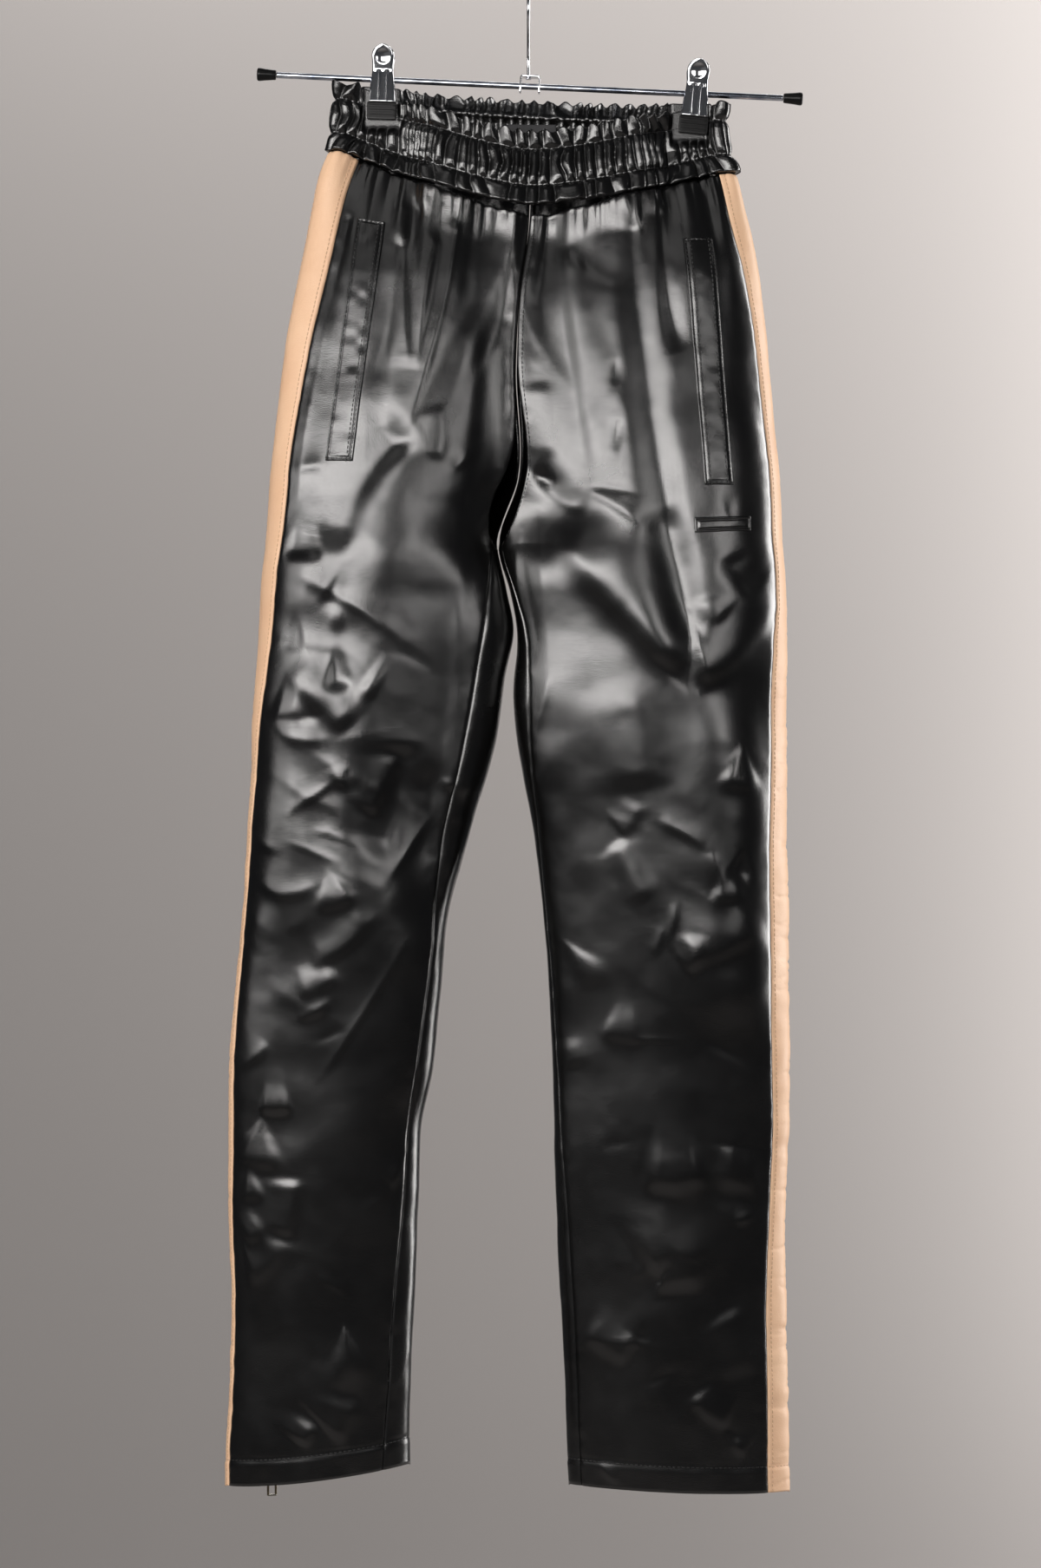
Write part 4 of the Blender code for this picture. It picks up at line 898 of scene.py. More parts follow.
def rounded_block(size: Triple, middle: Array, axes: Array, power: float) -> Shape:
    """A block with soft edges.

    Formula: a superellipsoid, x = a * s(cos v) * s(cos u), y = b * s(cos v) * s(sin u),
    z = c * s(sin v), with s(t) = sign(t) * |t| ** power.

    Args:
        size: full sizes along the three axes.
        middle: its middle.
        axes: three unit directions as rows.
        power: 1 for an ellipsoid, near 0 for a sharp block.

    Returns:
        Points and faces.
    """

    def soft(t: Array) -> Array:
        return np.sign(t) * np.abs(t) ** power

    edge = np.array([0.02, 0.12, 0.3, 0.55, 0.785, 1.02, 1.27, 1.45, 1.55])
    u = np.concatenate([edge, edge + math.pi / 2, edge + math.pi, edge + 1.5 * math.pi])
    v = np.concatenate([-edge[::-1], edge])
    vv, uu = np.meshgrid(v, u, indexing="ij")
    ring = soft(np.cos(vv))
    local = np.stack([ring * soft(np.cos(uu)), ring * soft(np.sin(uu)), soft(np.sin(vv))], axis=-1)
    points = middle + (local * np.array(size) / 2) @ axes
    return points.reshape(-1, 3), ring_faces(*vv.shape)


# ---------------------------------------------------------------- finishes


def settle(node: Node, **settings: object) -> Node:
    """Set a node's properties, and the values of its inputs where a name is an input's."""
    for key, value in settings.items():
        if hasattr(node, key):
            setattr(node, key, value)
        else:
            node.inputs[key.replace("_", " ")].default_value = value
    return node


class Nodes:
    """A node tree being wired: a small shorthand for adding and linking nodes."""

    def __init__(self, tree: NodeTree) -> None:
        """Keep the tree."""
        self.tree = tree

    def add(self, kind: str, **settings: object) -> Node:
        """A node of a kind with some settings."""
        return settle(self.tree.nodes.new(kind), **settings)

    def link(self, source: Node, output: object, target: Node, socket: object) -> None:
        """Link an output to an input, each by name or number."""
        self.tree.links.new(source.outputs[output], target.inputs[socket])

    def texture(self, kind: str, **settings: object) -> Node:
        """A texture in the object's own coordinates."""
        node = self.add(f"ShaderNodeTex{kind}", **settings)
        self.link(self.add("ShaderNodeTexCoord"), "Object", node, "Vector")
        return node

    def bump(self, source: Node, output: object, shader: Node, **settings: object) -> None:
        """Tilt a shader's normals by an output's heights."""
        bump = self.add("ShaderNodeBump", **settings)
        self.link(source, output, bump, "Height")
        self.link(bump, 0, shader, "Normal")


def effect_group(name: str, inputs: dict, outputs: dict) -> tuple:
    """A shader node group with named sockets.

    Args:
        name: the group's name.
        inputs: socket name to (kind, default).
        outputs: socket name to kind.

    Returns:
        The group, its wiring, its input node and its output node.
    """
    group = bpy.data.node_groups.new(name, "ShaderNodeTree")
    for socket, (kind, default) in inputs.items():
        made = group.interface.new_socket(socket, in_out="INPUT", socket_type=kind)
        made.default_value = default
    for socket, kind in outputs.items():
        group.interface.new_socket(socket, in_out="OUTPUT", socket_type=kind)
    nodes = Nodes(group)
    return group, nodes, nodes.add("NodeGroupInput"), nodes.add("NodeGroupOutput")


@cache
def grain_group() -> NodeTree:
    """Coated cloth's relief and gloss: pebbled grain, fine wrinkles and cloudy wear."""
    group, nodes, source, result = effect_group(
        "cloth_grain",
        {
            "Grain Scale": ("NodeSocketFloat", 1400.0),
            "Wrinkle Share": ("NodeSocketFloat", 0.5),
            "Gloss Low": ("NodeSocketFloat", 0.28),
            "Gloss High": ("NodeSocketFloat", 0.4),
        },
        {"Height": "NodeSocketFloat", "Gloss": "NodeSocketFloat"},
    )
    pebble = nodes.texture("Voronoi", feature="SMOOTH_F1", Smoothness=0.6)
    nodes.link(source, "Grain Scale", pebble, "Scale")
    wrinkle = nodes.texture("Noise", Scale=210.0, Detail=3.0, Distortion=0.7)
    mix = nodes.add("ShaderNodeMix", data_type="FLOAT")
    nodes.link(source, "Wrinkle Share", mix, 0)
    nodes.link(pebble, "Distance", mix, 2)
    nodes.link(wrinkle, 0, mix, 3)
    nodes.link(mix, 0, result, "Height")
    cloud = nodes.texture("Noise", Scale=16.0, Detail=4.0, Roughness=0.6)
    gloss = nodes.add("ShaderNodeMapRange", From_Min=0.3, From_Max=0.7)
    nodes.link(cloud, 0, gloss, "Value")
    nodes.link(source, "Gloss Low", gloss, "To Min")
    nodes.link(source, "Gloss High", gloss, "To Max")
    nodes.link(gloss, 0, result, "Gloss")
    return group


@cache
def tone_group() -> NodeTree:
    """Two colours mixed by a soft cloud."""
    group, nodes, source, result = effect_group(
        "surface_tone",
        {
            "Light": ("NodeSocketColor", (0.5, 0.5, 0.5, 1)),
            "Dark": ("NodeSocketColor", (0.4, 0.4, 0.4, 1)),
            "Cloud Scale": ("NodeSocketFloat", 20.0),
        },
        {"Color": "NodeSocketColor"},
    )
    cloud = nodes.texture("Noise", Detail=5.0, Roughness=0.65)
    nodes.link(source, "Cloud Scale", cloud, "Scale")
    share = nodes.add("ShaderNodeMapRange", From_Min=0.32, From_Max=0.68)
    nodes.link(cloud, 0, share, "Value")
    mix = nodes.add("ShaderNodeMix", data_type="RGBA")
    nodes.link(share, 0, mix, 0)
    nodes.link(source, "Dark", mix, 6)
    nodes.link(source, "Light", mix, 7)
    nodes.link(mix, 2, result, "Color")
    return group


def new_material(name: str) -> tuple[Material, Nodes, Node]:
    """A material with its wiring and its Principled shader."""
    made = bpy.data.materials.new(name)
    made.use_nodes = True
    return made, Nodes(made.node_tree), made.node_tree.nodes["Principled BSDF"]


@dataclass(frozen=True)
class CoatedCloth:
    """Cloth with a soft plastic coating."""

    name: str
    light: Triple
    dark: Triple
    gloss: Pair = (0.2, 0.28)
    grain_scale: float = 1500.0
    wrinkle_share: float = 0.45
    relief: float = 0.16
    specular: float = 0.95

    def make(self) -> Material:
        """The material."""
        made, nodes, shader = new_material(self.name)
        low, high = self.gloss
        grain = nodes.add(
            "ShaderNodeGroup", node_tree=grain_group(), Grain_Scale=self.grain_scale,
            Wrinkle_Share=self.wrinkle_share, Gloss_Low=low, Gloss_High=high,
        )
        tone = nodes.add(
            "ShaderNodeGroup", node_tree=tone_group(), Light=(*self.light, 1), Dark=(*self.dark, 1)
        )
        nodes.link(tone, "Color", shader, "Base Color")
        nodes.link(grain, "Gloss", shader, "Roughness")
        nodes.bump(grain, "Height", shader, Strength=self.relief, Distance=0.0006)
        settle(shader, Specular_IOR_Level=self.specular)
        return made


@dataclass(frozen=True)
class PlainFinish:
    """A finish of two close colours and one gloss: metal, rubber, thread or woven label."""

    name: str
    colour: Triple
    shade: Triple
    roughness: float
    metallic: float = 0.0
    relief: float = 0.0
    specular: float = 0.5

    def make(self) -> Material:
        """The material."""
        made, nodes, shader = new_material(self.name)
        tone = nodes.add(
            "ShaderNodeGroup", node_tree=tone_group(), Light=(*self.colour, 1),
            Dark=(*self.shade, 1), Cloud_Scale=60.0,
        )
        nodes.link(tone, "Color", shader, "Base Color")
        settle(
            shader, Roughness=self.roughness, Metallic=self.metallic,
            Specular_IOR_Level=self.specular,
        )
        if self.relief:
            noise = nodes.texture("Noise", Scale=900.0, Detail=3.0)
            nodes.bump(noise, 0, shader, Strength=self.relief, Distance=0.0004)
        return made


FINISHES = {
    "black": CoatedCloth("glossy_black_cloth", (0.0025, 0.0023, 0.0022), (0.0013, 0.0012, 0.0012)),
    "tan": CoatedCloth(
        "tan_cloth", (0.83, 0.55, 0.355), (0.77, 0.485, 0.305), (0.42, 0.56), 900.0, 0.6, 0.3, 0.4
    ),
    "black_thread": PlainFinish("black_thread", (0.014, 0.013, 0.013), (0.008, 0.008, 0.008), 0.42),
    "tan_thread": PlainFinish("tan_thread", (0.62, 0.40, 0.26), (0.54, 0.34, 0.2), 0.6),
    "label": PlainFinish("label_weave", (0.035, 0.034, 0.036), (0.02, 0.02, 0.022), 0.75, 0.0, 0.4),
    "chrome": PlainFinish("chrome", (0.86, 0.87, 0.89), (0.78, 0.79, 0.82), 0.1, 1.0),
    # The rod's colour swings between a light and a dark tone in clouds: painted reflection streaks
    # on the chrome.
    "rod_chrome": PlainFinish("rod_chrome", (0.72, 0.75, 0.82), (0.2, 0.23, 0.3), 0.14, 1.0),
    "rubber": PlainFinish(
        "rubber", (0.008, 0.008, 0.008), (0.005, 0.005, 0.005), 0.25, 0.0, 0.1, specular=0.16
    ),
    "zip": PlainFinish("zip_brass", (0.42, 0.35, 0.24), (0.2, 0.16, 0.11), 0.3, 1.0),
    "zip_bright": PlainFinish("zip_bright", (0.75, 0.72, 0.66), (0.6, 0.57, 0.5), 0.22, 1.0),
}


@cache
def material(finish: str) -> Material:
    """The material of a finish, made once."""
    return FINISHES[finish].make()


# ---------------------------------------------------------------- stitches


@dataclass(frozen=True)
class Stitching:
    """A row of topstitches, each a small bead. Metres."""

    pitch: float = 3.4 * MM
    length: float = 2.5 * MM
    width: float = 0.85 * MM
    height: float = 0.6 * MM

    def beads(self, line: Array, normals: Array) -> Shape:
        """The beads of one row.

        Formula: bead k lies at arc length (k + 1/2) * step, step being the pitch rounded so that
        the beads fill the line; its four rings of six points have the shares 0.4, 1, 1 and 0.4
        of its width and height at -1/2, -0.3, 0.3 and 1/2 of its length.

        Args:
            line: points on the cloth.
            normals: directions out of the cloth there.

        Returns:
            Points and faces.
        """
        arc = arc_length(line)
        count = max(int(arc[-1] / self.pitch), 1)
        at = (np.arange(count) + 0.5) * arc[-1] / count

        def along(values: Array, where: Array) -> Array:
            return np.stack([np.interp(where, arc, values[:, k]) for k in range(3)], axis=1)

        middle, normal = along(line, at), unit(along(normals, at))
        half = self.length / 2
        tangent = unit(along(line, at + half) - along(line, at - half))
        across = unit(np.cross(normal, tangent))
        sizes = np.array([0.4, 1.0, 1.0, 0.4])[:, None]
        steps = np.array([-1.0, -0.6, 0.6, 1.0]) * half
        turn = np.arange(6) * math.pi / 3
        points = middle[:, None, None] + steps[None, :, None, None] * tangent[:, None, None]
        for size, wave, way in (
            (self.width, np.cos(turn), across), (self.height, np.sin(turn), normal)
        ):
            points = points + (size / 2) * (sizes * wave)[None, :, :, None] * way[:, None, None]
        return points.reshape(-1, 3), copied_faces(ring_faces(4, 6), 24, count)


def add_stitches(name: str, rows: list, finish: str, stitching: Stitching, slot: str) -> None:
    """One piece of all the rows of stitches of a kind.

    Args:
        name: the piece's name.
        rows: (points, normals) of each row.
        finish: the thread.
        stitching: the stitch's sizes.
        slot: the record's slot of the cloth that they are in; not used.
    """
    shape = join([stitching.beads(line, normals) for line, normals in rows])
    add_solid(name, shape, finish, slot)


# ---------------------------------------------------------------- garment


@dataclass
class Panel:
    """A panel's outer surface: its points and outward normals."""

    points: Array
    normals: Array

    def line_in(self, distance: float, from_last: bool = False) -> tuple[Array, Array]:
        """A line down the panel at a distance from one of its side seams.

        Args:
            distance: how far in, in metres.
            from_last: from the last column rather than the first.

        Returns:
            Points and normals, one a row.
        """
        grid = self.points[:, ::-1] if from_last else self.points
        normals = self.normals[:, ::-1] if from_last else self.normals
        steps = np.linalg.norm(np.diff(grid, axis=1), axis=-1)
        place = distance / (steps.sum(axis=1) / steps.shape[1])
        low = np.clip(place.astype(int), 0, steps.shape[1] - 1)
        share = (place - low)[:, None]
        rows = np.arange(len(grid))
        point = grid[rows, low] * (1 - share) + grid[rows, low + 1] * share
        return point, normals[rows, low]

    def row_in(self, row: int, ends: int = 3) -> tuple[Array, Array]:
        """A row of the grid without its ends."""
        return self.points[row, ends:-ends], self.normals[row, ends:-ends]

    def line_up(self, distance: float) -> tuple[Array, Array]:
        """A line across the panel at a distance above its hem."""
        grid = self.points[::-1]
        steps = np.abs(np.diff(grid[..., 2], axis=0))
        place = distance / steps[:12].mean(axis=0)
        low = place.astype(int)
        share = (place - low)[:, None]
        columns = np.arange(grid.shape[1])
        point = grid[low, columns] * (1 - share) + grid[low + 1, columns] * share
        return point, self.normals[::-1][low, columns]


@dataclass(frozen=True)
class PanelCut:
    """One panel of a leg: its seams, its grid and what it was cut to."""

    name: str
    first: int
    last: int
    columns: int
    rows: int
    finish: str
    slot: str
    flat: Pair
    area: float


PANEL_CUTS = (
    PanelCut("front_panel", 0, 1, 108, 300, "black", "black_cloth", (0.24, 1.0), 0.16),
    PanelCut("side_stripe", 1, 2, 24, 560, "tan", "stripe_cloth", (0.040, 1.0), 0.036),
    PanelCut("back_panel", 2, 3, 92, 250, "black", "black_cloth", (0.27, 1.0), 0.20),
)
# Waistband: share of its height from the top, and how far it puffs out; the lows are stitched
STITCH_ROWS = (0.235, 0.735)
BAND_PROFILE = np.array([
    (0, 1.2), (0.09, 1.1), (0.18, 0.8), (STITCH_ROWS[0], 0.06), (0.28, 0.66), (0.34, 0.93),
    (0.5, 1.0), (0.63, 0.93), (0.69, 0.66), (STITCH_ROWS[1], 0.06), (0.775, 0.66), (0.82, 0.92),
    (0.9, 1.0), (0.965, 0.98), (0.985, 0.6), (1, -0.05),
])


@dataclass
class Trousers:
    """The panels, the waistband and what is sewn on them. Metres."""

    form: TrouserForm
    wall: float = 1.1 * MM
    hip_rows: float = 0.15
    crotch_rows: float = 0.28
    groove: float = 0.7 * MM
    groove_width: float = 1.5 * MM
    seam_ripple: float = 0.32 * MM
    hem_rise: float = 0.45 * MM
    hem_notch: float = 0.5 * MM
    hem_fold: float = 19.0 * MM
    pleat_height: float = 4.6 * MM
    stitch_rows: Pair = STITCH_ROWS
    frill_wave: float = 1.7 * MM
    frill_hang: float = 1.6 * MM
    stripe_lines: int = 120
    band_columns: int = 290
    band_rows: int = 60
    made: dict = field(default_factory=dict)

    def rows(self, density: int) -> tuple[Array, Array, Array]:
        """The rows of a panel, from the waist to the hem.

        Formula: the top rows are shares of the way from the waist seam to the hip; the rest are
        levels, packed towards the crotch as the square root of a cosine.

        Args:
            density: rows below the crotch.

        Returns:
            Share from waist to hip (1 below), level of each row, and the level to cut at.
        """
        form = self.form
        hip_share = np.linspace(0, 1, int(density * self.hip_rows))[:-1]
        even = np.linspace(0, 1, int(density * self.crotch_rows))
        turn = np.linspace(0.62, 0.0, 16)
        packed = np.sqrt(np.cos(turn))
        drop = np.unique(np.round(np.concatenate([even, packed]), 7))
        to_crotch = form.hip - (form.hip - form.crotch) * drop
        legs = np.linspace(form.crotch, form.hem, density + 1)[1:]
        levels = np.concatenate([np.full(len(hip_share), form.hip), to_crotch, legs])
        share = np.concatenate([hip_share, np.ones(len(to_crotch) + len(legs))])
        cut_at = np.where(share < 1, form.waist + (form.hip - form.waist) * share, levels)
        return share, levels, cut_at

    def grid(self, side: Side, cut: PanelCut) -> tuple[Array, Array]:
        """Angles and heights of a panel's points."""
        form = self.form
        share, levels, cut_at = self.rows(cut.rows)
        seams = form.seam_angles(side, cut_at)
        across = np.linspace(0, 1, cut.columns + 1)
        line = seams[cut.first][:, None] * (1 - across) + seams[cut.last][:, None] * across
        angle = wrapped(line)
        top = form.waist_height(side, angle) - form.band_seam_gap / 2
        height = top + (form.hip - top) * share[:, None]
        level = np.broadcast_to(levels[:, None], angle.shape)
        middle, half = form.section(side, level)
        x = middle - side.sign * half * np.cos(angle)
        low = ramp(form.ankle - level, form.ankle - form.hem)
        lift = form.front_lift * np.clip(np.sin(angle), 0, 1) ** 0.5
        level = level - (form.hem_drop(side, x) - lift) * low
        return angle, np.where(share[:, None] < 1, height, level)

    def sewn_relief(self, base: Array) -> Array:
        """Relief that the sewing gives a panel: grooves at its seams and the turned-up hem.

        Formula: minus groove * exp(-(d / width)^2) at the side and waist seams, d being the
        distance to the seam; ripples in 7 mm cells that fade over 6 mm from a side seam; the
        hem's rise below its stitch line, a notch along that line, and puffs around the hem.

        Args:
            base: the panel's smooth points.

        Returns:
            Heights in metres.
        """
        arc = arc_length(base)
        side = np.minimum(arc, arc[:, -1:] - arc)
        below = base[:1, :, 2] - base[..., 2]
        above = base[..., 2] - base[-1:, :, 2]
        relief = -self.groove * bell(side, self.groove_width)
        relief -= self.groove * bell(below, self.groove_width)
        relief += self.seam_ripple * soft_noise(base, 7, 5) * np.exp(-side / (6 * MM))
        hem = 1 / (1 + np.exp((above - self.hem_fold) / (0.7 * MM)))
        relief += self.hem_rise * hem
        relief -= self.hem_notch * bell(above - self.hem_fold, 1.3 * MM)
        puffs = soft_noise(base, (9, 9, 30), 6)
        relief += self.hem_rise * puffs * np.exp(-np.abs(above - 10 * MM) / (14 * MM))
        return relief

    def stripe_wrinkles(self, side: Side, base: Array) -> Array:
        """Level wrinkles of the thin tan cloth, deeper at the knee and below.

        Formula: minus depth * exp(-|d| / 1.1 mm) at each of 120 lines at random heights, d being
        the height above the line, which tilts a little; and soft noise between the lines.

        Args:
            side: which side.
            base: the stripe's smooth points.

        Returns:
            Heights in metres.
        """
        z = base[..., 2]
        across = np.linspace(0, 1, base.shape[1])[None, :]
        draw = np.random.default_rng(50 if side is Side.LEFT else 51)
        relief = 0.45 * MM * soft_noise(base, (34, 34, 9), 22)
        for height in np.sort(draw.uniform(-1.115, -0.2, self.stripe_lines)):
            tilt = draw.uniform(-5, 5) * MM
            depth = draw.uniform(0.15, 0.75) * MM
            start = draw.uniform(-0.3, 0.5)
            end = start + draw.uniform(0.5, 1.5)
            wave = 0.6 * MM * np.sin(across * 9 + height * 900)
            away = np.abs(z - height - tilt * (across - 0.5) - wave)
            window = ramp(across - start, 0.15) * ramp(end - across, 0.15)
            relief = relief - depth * window * np.exp(-away / (1.1 * MM))
        deep = 0.2 + 0.8 * ramp(-0.40 - z, 0.2)
        return deep * (1.0 if side is Side.LEFT else 0.7) * relief

    def build_panels(self) -> None:
        """Front, stripe and back of each side, as hung sheets."""
        for side in Side:
            for cut in PANEL_CUTS:
                angle, height = self.grid(side, cut)
                base = self.form.base(side, angle, height)
                normal = self.form.base_normal(side, angle, height)
                relief = self.form.folds(side, angle, base) + self.sewn_relief(base)
                if cut.name == "side_stripe":
                    relief = relief + self.stripe_wrinkles(side, base)
                points = base + normal * relief[..., None]
                middle = middle_of(normal)
                name = f"{cut.name}_{side.value}"
                add_cloth(
                    f"sewn_{name}", name, points, middle, cut.finish, cut.slot,
                    self.wall, flat=cut.flat, held="hung", area=cut.area,
                )
                normals = grid_normals(points)
                normals *= np.sign(np.sum(middle_of(normals) * middle))
                self.made[name] = Panel(points, normals)

    def band_relief(self, phase: Array, share: Array, base: Array) -> Array:
        """Height of the waistband's gathers.

        Formula: puff * (1 mm + 4.6 mm * |sin(phase)| ** 0.75 * uneven), puff being the profile
        of three rounded rows that are pinched at the two stitch rows. The upper and the lower
        row are ruffles with fewer, wider pleats than the middle one. Small puckers of twice the
        phase lie along the stitch rows.

        Args:
            phase: phase of the gathers, pi a pleat.
            share: share of the band's height from the top.
            base: the smooth points.

        Returns:
            Heights in metres.
        """
        upper, lower = self.stitch_rows
        puff = np.interp(share, *BAND_PROFILE.T)
        warp = soft_noise(base, (14, 40, 13), 31)
        ribs = np.abs(np.sin(phase + 0.95 * warp)) ** 0.75
        top_ruffle = np.abs(np.sin(0.72 * phase + 1.5 * warp + 0.5)) ** 0.85
        low_ruffle = np.abs(np.sin(0.62 * phase - 1.3 * warp + 1.1)) ** 0.85
        wave = np.where(share < upper, top_ruffle, np.where(share < lower, ribs, low_ruffle))
        uneven = 0.8 + 0.3 * soft_noise(base, (9, 60, 24), 35)
        pinch = bell(share - upper, 0.035) + bell(share - lower, 0.035)
        puckers = 0.7 * MM * pinch * np.abs(np.sin(2 * phase + 2 * warp)) ** 0.8
        crumple = 0.22 * MM * puff * soft_noise(base, (6.5, 12, 10), 32)
        return puff * (1.0 * MM + self.pleat_height * wave * uneven) + puckers + crumple

    def build_band(self, face: Face) -> None:
        """One half of the gathered waistband, and its two stitch rows."""
        form = self.form
        reach = np.linspace(0, 1, self.band_columns)
        turns = math.pi - 0.003 - (math.pi / 2 - 0.003) * reach
        share = np.linspace(0, 1, self.band_rows)[:, None]
        halves = []
        for side, line in ((Side.RIGHT, turns), (Side.LEFT, turns[::-1][1:])):
            angle = np.broadcast_to(line * face.turn, (self.band_rows, len(line)))
            top, bottom = form.top_height(side, angle), form.waist_height(side, angle)
            z = top + (bottom + form.band_seam_gap / 2 - top) * share
            base = form.base(side, angle, z)
            normal = form.base_normal(side, angle, z)
            phase = form.pleat_phase(side, angle)
            free = 1 - form.under_jaw(base[..., 0], z)
            points = base + normal * (free * self.band_relief(phase, share, base))[..., None]
            frill = np.clip(1 - share / self.stitch_rows[0], 0, 1) ** 1.2 * free
            flutter = np.sin(1.44 * phase + 2.0 * soft_noise(base, 20, 34))
            points[..., 2] += self.frill_wave * frill * flutter
            hang = ramp(share - 0.8, 0.12) * ramp(1 - share, 0.03) * free
            points[..., 2] -= self.frill_hang * hang * np.abs(np.sin(0.62 * phase + 1.0))
            halves.append((points, normal))
        points, normal = (np.concatenate(grids, axis=1) for grids in zip(*halves))
        name = f"waistband_{face.value}"
        add_cloth(
            f"gathered_{name}", name, points, middle_of(normal), "black",
            "black_cloth", self.wall, flat=(0.40, 0.060), held="gathered", area=0.024,
        )
        rows = []
        for place in self.stitch_rows:
            row = place * (self.band_rows - 1)
            low = int(row)
            line = points[low] * (1 - row + low) + points[low + 1] * (row - low)
            rows.append((line + normal[low] * 0.15 * MM, normal[low]))
        self.stitch(f"band_stitches_{face.value}", rows, Stitching(2.6 * MM, 1.9 * MM, 0.5 * MM))

    def stitch(self, name: str, rows: list, stitching: Stitching) -> None:
        """Rows of black stitches as one piece."""
        add_stitches(name, rows, "black_thread", stitching, "black_cloth")

    def applied_strip(
        self,
        node: str,
        side: Side,
        corners: tuple,
        cells: tuple[int, int],
        rise: float,
        border: float,
        flat: Pair,
    ) -> Panel:
        """A flat piece sewn on the front of a side.

        Formula: a grid between four corners on the folded surface, raised by
        rise * (1 - exp(-(d / 0.5 mm)^2)), d being the distance to its nearest edge, with a
        border 0.9 mm in from that edge and a furrow for the stitches 2.2 mm in.

        Args:
            node: the part's solid that it stands for.
            side: which side.
            corners: top outer, top inner, lower outer and lower inner, x and z in mm.
            cells: columns and rows.
            rise: its thickness.
            border: extra height along its edges.
            flat: what it was cut to; not used.

        Returns:
            Its points and normals.
        """
        columns, rows = cells
        across = np.linspace(0, 1, columns + 1)[None, :, None]
        down = np.linspace(0, 1, rows + 1)[:, None, None]
        top_out, top_in, low_out, low_in = (np.array(corner) * MM for corner in corners)
        place = (top_out * (1 - across) + top_in * across) * (1 - down)
        place = place + (low_out * (1 - across) + low_in * across) * down
        x, z = place[..., 0], place[..., 1]
        base = self.form.surface(side, self.form.front_angle(side, x, z), z)
        normal = grid_normals(base)
        normal *= -np.sign(normal[..., 1:2])
        beside = np.minimum(across, 1 - across)[..., 0] * np.linalg.norm(top_out - top_in)
        above = np.minimum(down, 1 - down)[..., 0] * np.linalg.norm(top_out - low_out)
        edge = np.minimum(beside, above)
        lift = rise * (1 - bell(edge, 0.5 * MM)) - 0.1 * MM
        lift += border * bell(edge - 0.9 * MM, 0.5 * MM)
        lift -= border * bell(edge - 2.2 * MM, 0.8 * MM)
        lift += 0.22 * MM * soft_noise(base, 7, 41) * ramp(edge, 2 * MM)
        points = base + normal * lift[..., None]
        add_cloth(
            f"sewn_{node}", node, points, FORWARD, "black", "black_cloth",
            0.7 * MM, flat=flat, held="stretched",
        )
        return Panel(points, normal)

    def build_pockets(self) -> None:
        """The slanted pocket welts with their double stitch rows."""
        welts = {
            Side.RIGHT: ((-126, -185.5), (-105.5, -187.5), (-148.5, -365.5), (-128.5, -365.5)),
            Side.LEFT: ((134, -202), (111.5, -203), (146, -384), (125.5, -384)),
        }
        near, far = 2.2 * MM, 5.8 * MM
        rows = []
        for side, corners in welts.items():
            node = f"pocket_welt_{side.value}"
            welt = self.applied_strip(
                node, side, corners, (32, 220), 1.8 * MM, 0.6 * MM, (0.021, 0.182)
            )
            rows += [welt.line_in(near, True), welt.line_in(far, True), welt.line_in(near)]
            if side is Side.LEFT:
                rows += [welt.line_in(far)]
            rows += [welt.row_in(2), welt.row_in(-3)]
        self.stitch("pocket_stitches", rows, Stitching())

    def build_patch(self) -> None:
        """The small bare patch with a raised border and its stitches."""
        corners = ((158, -406), (118.5, -407.6), (158, -416.8), (119, -418.8))
        patch = self.applied_strip(
            "thigh_patch", Side.LEFT, corners, (56, 20), 0.9 * MM, 0.5 * MM, (0.0395, 0.011)
        )
        rows = [patch.line_in(2.2 * MM), patch.line_in(2.2 * MM, True)]
        rows += [patch.row_in(4), patch.row_in(-5)]
        self.stitch("patch_stitches", rows, Stitching(2.2 * MM, 1.6 * MM, 0.4 * MM, 0.3 * MM))

    def build_label(self) -> None:
        """The bare woven label inside the back waistband: a strip that bows a little."""
        across, down = np.meshgrid(np.linspace(-1, 1, 41), np.linspace(0, 1, 17))
        low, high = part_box("inner_label")
        x = across * (high[0] - low[0]) / 2 + (high[0] + low[0]) / 2
        z = high[2] - (high[2] - low[2]) * down
        y = low[1] + 0.25 * MM * (1 + np.sin(across * 3.0) * np.cos(down * 4.0))
        add_cloth(
            "bare_inner_label", "inner_label", np.stack([x, y, z], axis=-1), FORWARD,
            "label", "label_cloth", 0.5 * MM, flat=(0.040, 0.015), held="stretched",
        )

    def build_topstitching(self) -> None:
        """Stitch rows along the stripes, the centre seams and the hems."""
        tan, black = [], []
        for side in Side:
            stripe = self.made[f"side_stripe_{side.value}"]
            tan += [stripe.line_in(2.9 * MM), stripe.line_in(2.9 * MM, True)]
            tan.append(stripe.line_up(self.hem_fold))
            for name in ("front_panel", "back_panel"):
                black.append(self.made[f"{name}_{side.value}"].line_up(self.hem_fold))
        for name, from_last in (("front_panel_left", False), ("back_panel_left", True)):
            line, normals = self.made[name].line_in(3.0 * MM, from_last)
            above = line[:, 2] > self.form.crotch + 6 * MM
            black.append((line[above], normals[above]))
        add_stitches("stripe_stitches", tan, "tan_thread", Stitching(), "stripe_cloth")
        self.stitch("panel_stitches", black, Stitching())

    def build(self) -> None:
        """Everything of the garment but the zips."""
        self.build_panels()
        for face in Face:
            self.build_band(face)
        self.build_pockets()
        self.build_patch()
        self.build_label()
        self.build_topstitching()


# ---------------------------------------------------------------- ankle zips


